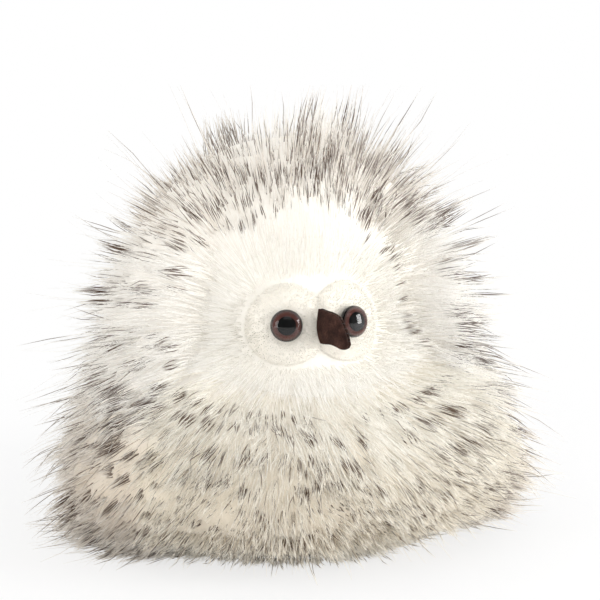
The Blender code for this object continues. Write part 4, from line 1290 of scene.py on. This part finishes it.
def beak_points(across, up, width):
    """Points of the beak: from its base to its tip, from its lower edge to its ridge, and sideways."""
    low, high = beak_edge(LOWER_EDGE_SHARES, across), beak_edge(RIDGE_SHARES, across)
    out, height = [low[axis] + (high[axis] - low[axis]) * up for axis in (0, 1)]
    zero = np.zeros_like(out)
    base_rise = EYE_RISE + height / SKIN_LENGTH
    base = skin_points(zero, base_rise) + skin_normals(zero, base_rise) * (DISC_TOP + FLOOR_GAP)
    level = math.cos(BEAK_DROOP)
    heading = np.array([math.sin(BEAK_LEAN) * level, -math.cos(BEAK_LEAN) * level, -math.sin(BEAK_DROOP)])
    turned_side = unit(np.cross(heading, [0.0, 0.0, -1.0]))
    share = np.clip(out / BEAK_LENGTH, 0.0, 1.0)[:, None]
    sideways = np.array([1.0, 0.0, 0.0]) * (1.0 - share) + turned_side * share
    return base + heading * out[:, None] + sideways * np.asarray(width)[:, None]


def beak_half_width(across, up):
    """How far the wadding pushes the side of the beak out from its middle."""
    swell = np.sin(math.pi * np.clip(up, 0.0, 1.0)) * (1.0 - across ** 3)
    return SEAM_GAP / 2.0 + BEAK_FABRIC + BEAK_BULGE * swell


tip = beak_points(np.array([1.0]), np.array([0.5]), np.array([0.0]))[0]
print("beak tip, mm:", np.round(1000 * tip, 1))

# %% Sew the beak
# Suedette: matt, with a fine nap that is lighter where it's rubbed and has a warm sheen at its edges.
suede, tree, shader = material("suedette_brown", "#3A2620", Roughness=0.9, Sheen_Weight=0.5,
                               Sheen_Roughness=0.35, Specular_IOR_Level=0.15)
shader.inputs["Sheen Tint"].default_value = linear("#8A6A5A")
spot = add(tree, "TexCoord").outputs["Object"]
nap = add(tree, "TexNoise", {"Vector": spot, "Scale": 1600.0, "Detail": 4.0, "Roughness": 0.65})
rub = add(tree, "TexNoise", {"Vector": spot, "Scale": 260.0, "Detail": 3.0})
both = add(tree, "Math", {0: nap.outputs["Fac"], 1: rub.outputs["Fac"]}, operation="MULTIPLY")
pattern_to(tree, shader, both.outputs[0],
           [(0.12, "#231411"), (0.28, "#3B2620"), (0.45, "#573C33")], nap.outputs["Fac"], 0.9, 0.0003)

for side, name in SIDES:
    def place(across, up, through, side=side):
        """A point of this side of the beak."""
        width = beak_half_width(across, up) - BEAK_FABRIC * (1.0 - through)
        return beak_points(across, up, side * width)

    cloth = finish("beak_cloth_" + name, slab(36, 20, place), "plush", suede)
    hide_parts(f"beak_{name}_panel")
print("beak sides made")

# %% Fill the beak
WADDING_INSET = 0.16


def wadding_place(across, up, through):
    """A point of the wadding in the beak."""
    across = across * (1.0 - WADDING_INSET)
    up = WADDING_INSET + (1.0 - 2.0 * WADDING_INSET) * up
    width = beak_half_width(across, up) - BEAK_FABRIC - FLOOR_GAP
    return beak_points(across, up, width * (2.0 * through - 1.0))


# Polyester wadding: bright and soft, with painted shade in the hollows between its tufts.
fibre, tree, shader = material("polyester_wadding", "#F2F2F0", Roughness=0.95, Sheen_Weight=0.3)
spot = add(tree, "TexCoord").outputs["Object"]
tufts = add(tree, "TexNoise", {"Vector": spot, "Scale": 350.0, "Detail": 5.0, "Roughness": 0.7})
pattern_to(tree, shader, tufts.outputs["Fac"],
           [(0.3, "#DFDFDC"), (0.65, "#F7F7F5")], tufts.outputs["Fac"], 0.8, 0.001)
wadding = finish("beak_wadding", slab(16, 10, wadding_place), "plush", fibre)
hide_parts("beak_filling")

print("wadding made")

# %% Stitch the beak
THREAD_RADIUS = 0.00016
THREAD_LIFT = 0.00030
STITCHES = 13
# Polyester thread: dark brown, with the slant of its twist.
thread, tree, shader = material("polyester_thread_brown", "#2A1A15", Roughness=0.85, Sheen_Weight=0.1)
spot = add(tree, "TexCoord").outputs["Object"]
twist = add(tree, "TexWave", {"Vector": spot, "Scale": 1400.0, "Distortion": 1.0},
            bands_direction="DIAGONAL")
pattern_to(tree, shader, twist.outputs["Fac"], [(0.2, "#1A0F0C"), (0.8, "#2E1E18")])
spots = (np.arange(STITCHES) + 0.5) / STITCHES * 0.94 + 0.03
lift = unit(np.array([0.0, -0.3, 1.0])) * THREAD_LIFT
half_width = SEAM_GAP / 2.0 + BEAK_FABRIC * 0.9
loops = []
for up, away in ((1.0, lift), (0.0, -lift)):
    one_side, middle, other_side = [
        beak_points(spots, np.full(STITCHES, up), np.full(STITCHES, across * half_width))
        for across in (-1, 0, 1)]
    loops.append(np.stack([one_side, middle + away, other_side], axis=1))
loops = np.concatenate(loops)
bm = bmesh.new()
bm.from_mesh(sweep(loops, np.full(loops.shape[:2], THREAD_RADIUS / HAIR_RADIUS)))
bmesh.ops.remove_doubles(bm, verts=bm.verts[:], dist=1e-6)
finish("beak_stitches", bm, "plush", thread)
print("stitches:", len(loops))

# %% [markdown]
# ## Stuffing, bean pouch and base
#
# Under the pile the skin is filled with polyester fibre, and a flat pouch of plastic pellets at the bottom
# keeps the owl upright. A plain disc of cloth closes it below. None of this can be seen from outside, so
# these pieces are simple turned forms, squashed to the skin's oval.

# %% Fill the skin
OVAL = Matrix.Diagonal((1.0, DEPTH_SHARE, 1.0, 1.0))
FILL_GAP = 0.0006
POUCH_RADIUS = 0.043
POUCH_HEIGHT = 0.020
BASE_THICKNESS = 0.0020

rises = np.linspace(0.0, 1.0, 48)
outer_radius = np.maximum(outline_at(rises, 1) - FILL_GAP, 0.0)
outer_height = outline_at(rises, 2) - FILL_GAP * rises
filling_floor = BASE_THICKNESS + 2.0 * FLOOR_GAP
room_radius, room_top = POUCH_RADIUS + FILL_GAP, filling_floor + POUCH_HEIGHT + FILL_GAP
profile = [(0.0, room_top), (room_radius, room_top), (room_radius, filling_floor)]
over_floor = outer_height > filling_floor
profile += list(zip(outer_radius[over_floor], outer_height[over_floor]))
profile[-1] = (0.0, profile[-1][1])
stuffing = finish("stuffing", turned(profile, 72, OVAL), "plush", fibre)
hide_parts("head_filling", "body_filling")
print("stuffing height, mm:", round(1000 * (profile[-1][1] - filling_floor)))

# %% Make the pouch
POUCH_ROUND = 0.012


def pillow(radius, low, high, edge):
    """The outline of a round pillow from its bottom to its top."""
    middle, half = (low + high) / 2.0, (high - low) / 2.0
    angles = np.radians(np.linspace(-90.0, 90.0, 15))
    bend = [(radius - edge + edge * math.cos(angle), middle + half * math.sin(angle)) for angle in angles]
    return [(0.0, low)] + bend + [(0.0, high)]


def woven_material(name, light, shade, thread_spacing):
    """Plain woven cotton: threads over and under each other, with painted shade where they dip."""
    made, tree, shader = material(name, light, Roughness=0.9, Sheen_Weight=0.2)
    spot = add(tree, "TexCoord").outputs["Object"]
    threads = {"Vector": spot, "Scale": 0.5 / thread_spacing / 3.14}
    across, along_cloth = [add(tree, "TexWave", threads, bands_direction=way) for way in ("X", "Y")]
    weave = add(tree, "Math", {0: across.outputs["Fac"], 1: along_cloth.outputs["Fac"]}, operation="MULTIPLY")
    # One pattern raises the threads and colours them: painted shade where they dip.
    pattern_to(tree, shader, weave.outputs[0], [(0.0, shade), (0.6, light)], weave.outputs[0], 0.7, 0.0002)
    return made


cotton = woven_material("plain_cotton", "#E4DFD3", "#CFC8B8", 0.0006)
pouch_low = filling_floor + FLOOR_GAP
pouch_outline = pillow(POUCH_RADIUS, pouch_low, pouch_low + POUCH_HEIGHT - 2.0 * FLOOR_GAP, POUCH_ROUND)
pouch = finish("bean_pouch", turned(pouch_outline, 72, OVAL), "plush", cotton)
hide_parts("pouch_bottom", "pouch_top", "pellets")
print("pouch made")

# %% Close the bottom
BASE_ROUND = 0.0006
base_cloth = woven_material("brushed_base_cloth", "#DCD3C2", "#C9BEAA", 0.0008)
base_radius = SKIN_RADIUS * SKIN_OUTLINE_SHARES[0][0] - SEAM_GAP
base_flat = base_radius - BASE_ROUND
base_outline = [
    (0.0, FLOOR_GAP), (base_flat, FLOOR_GAP), (base_radius, FLOOR_GAP + BASE_ROUND),
    (base_radius, BASE_THICKNESS - BASE_ROUND), (base_flat, BASE_THICKNESS), (0.0, BASE_THICKNESS),
]
base = finish("base_cloth", turned(base_outline, 96, OVAL), "plush", base_cloth)
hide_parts("base_panel")
print("base made")

# %% Write the sizes down
print("CAD box, mm:", np.round(1000 * np.array([cad_low, cad_high]), 1).tolist())
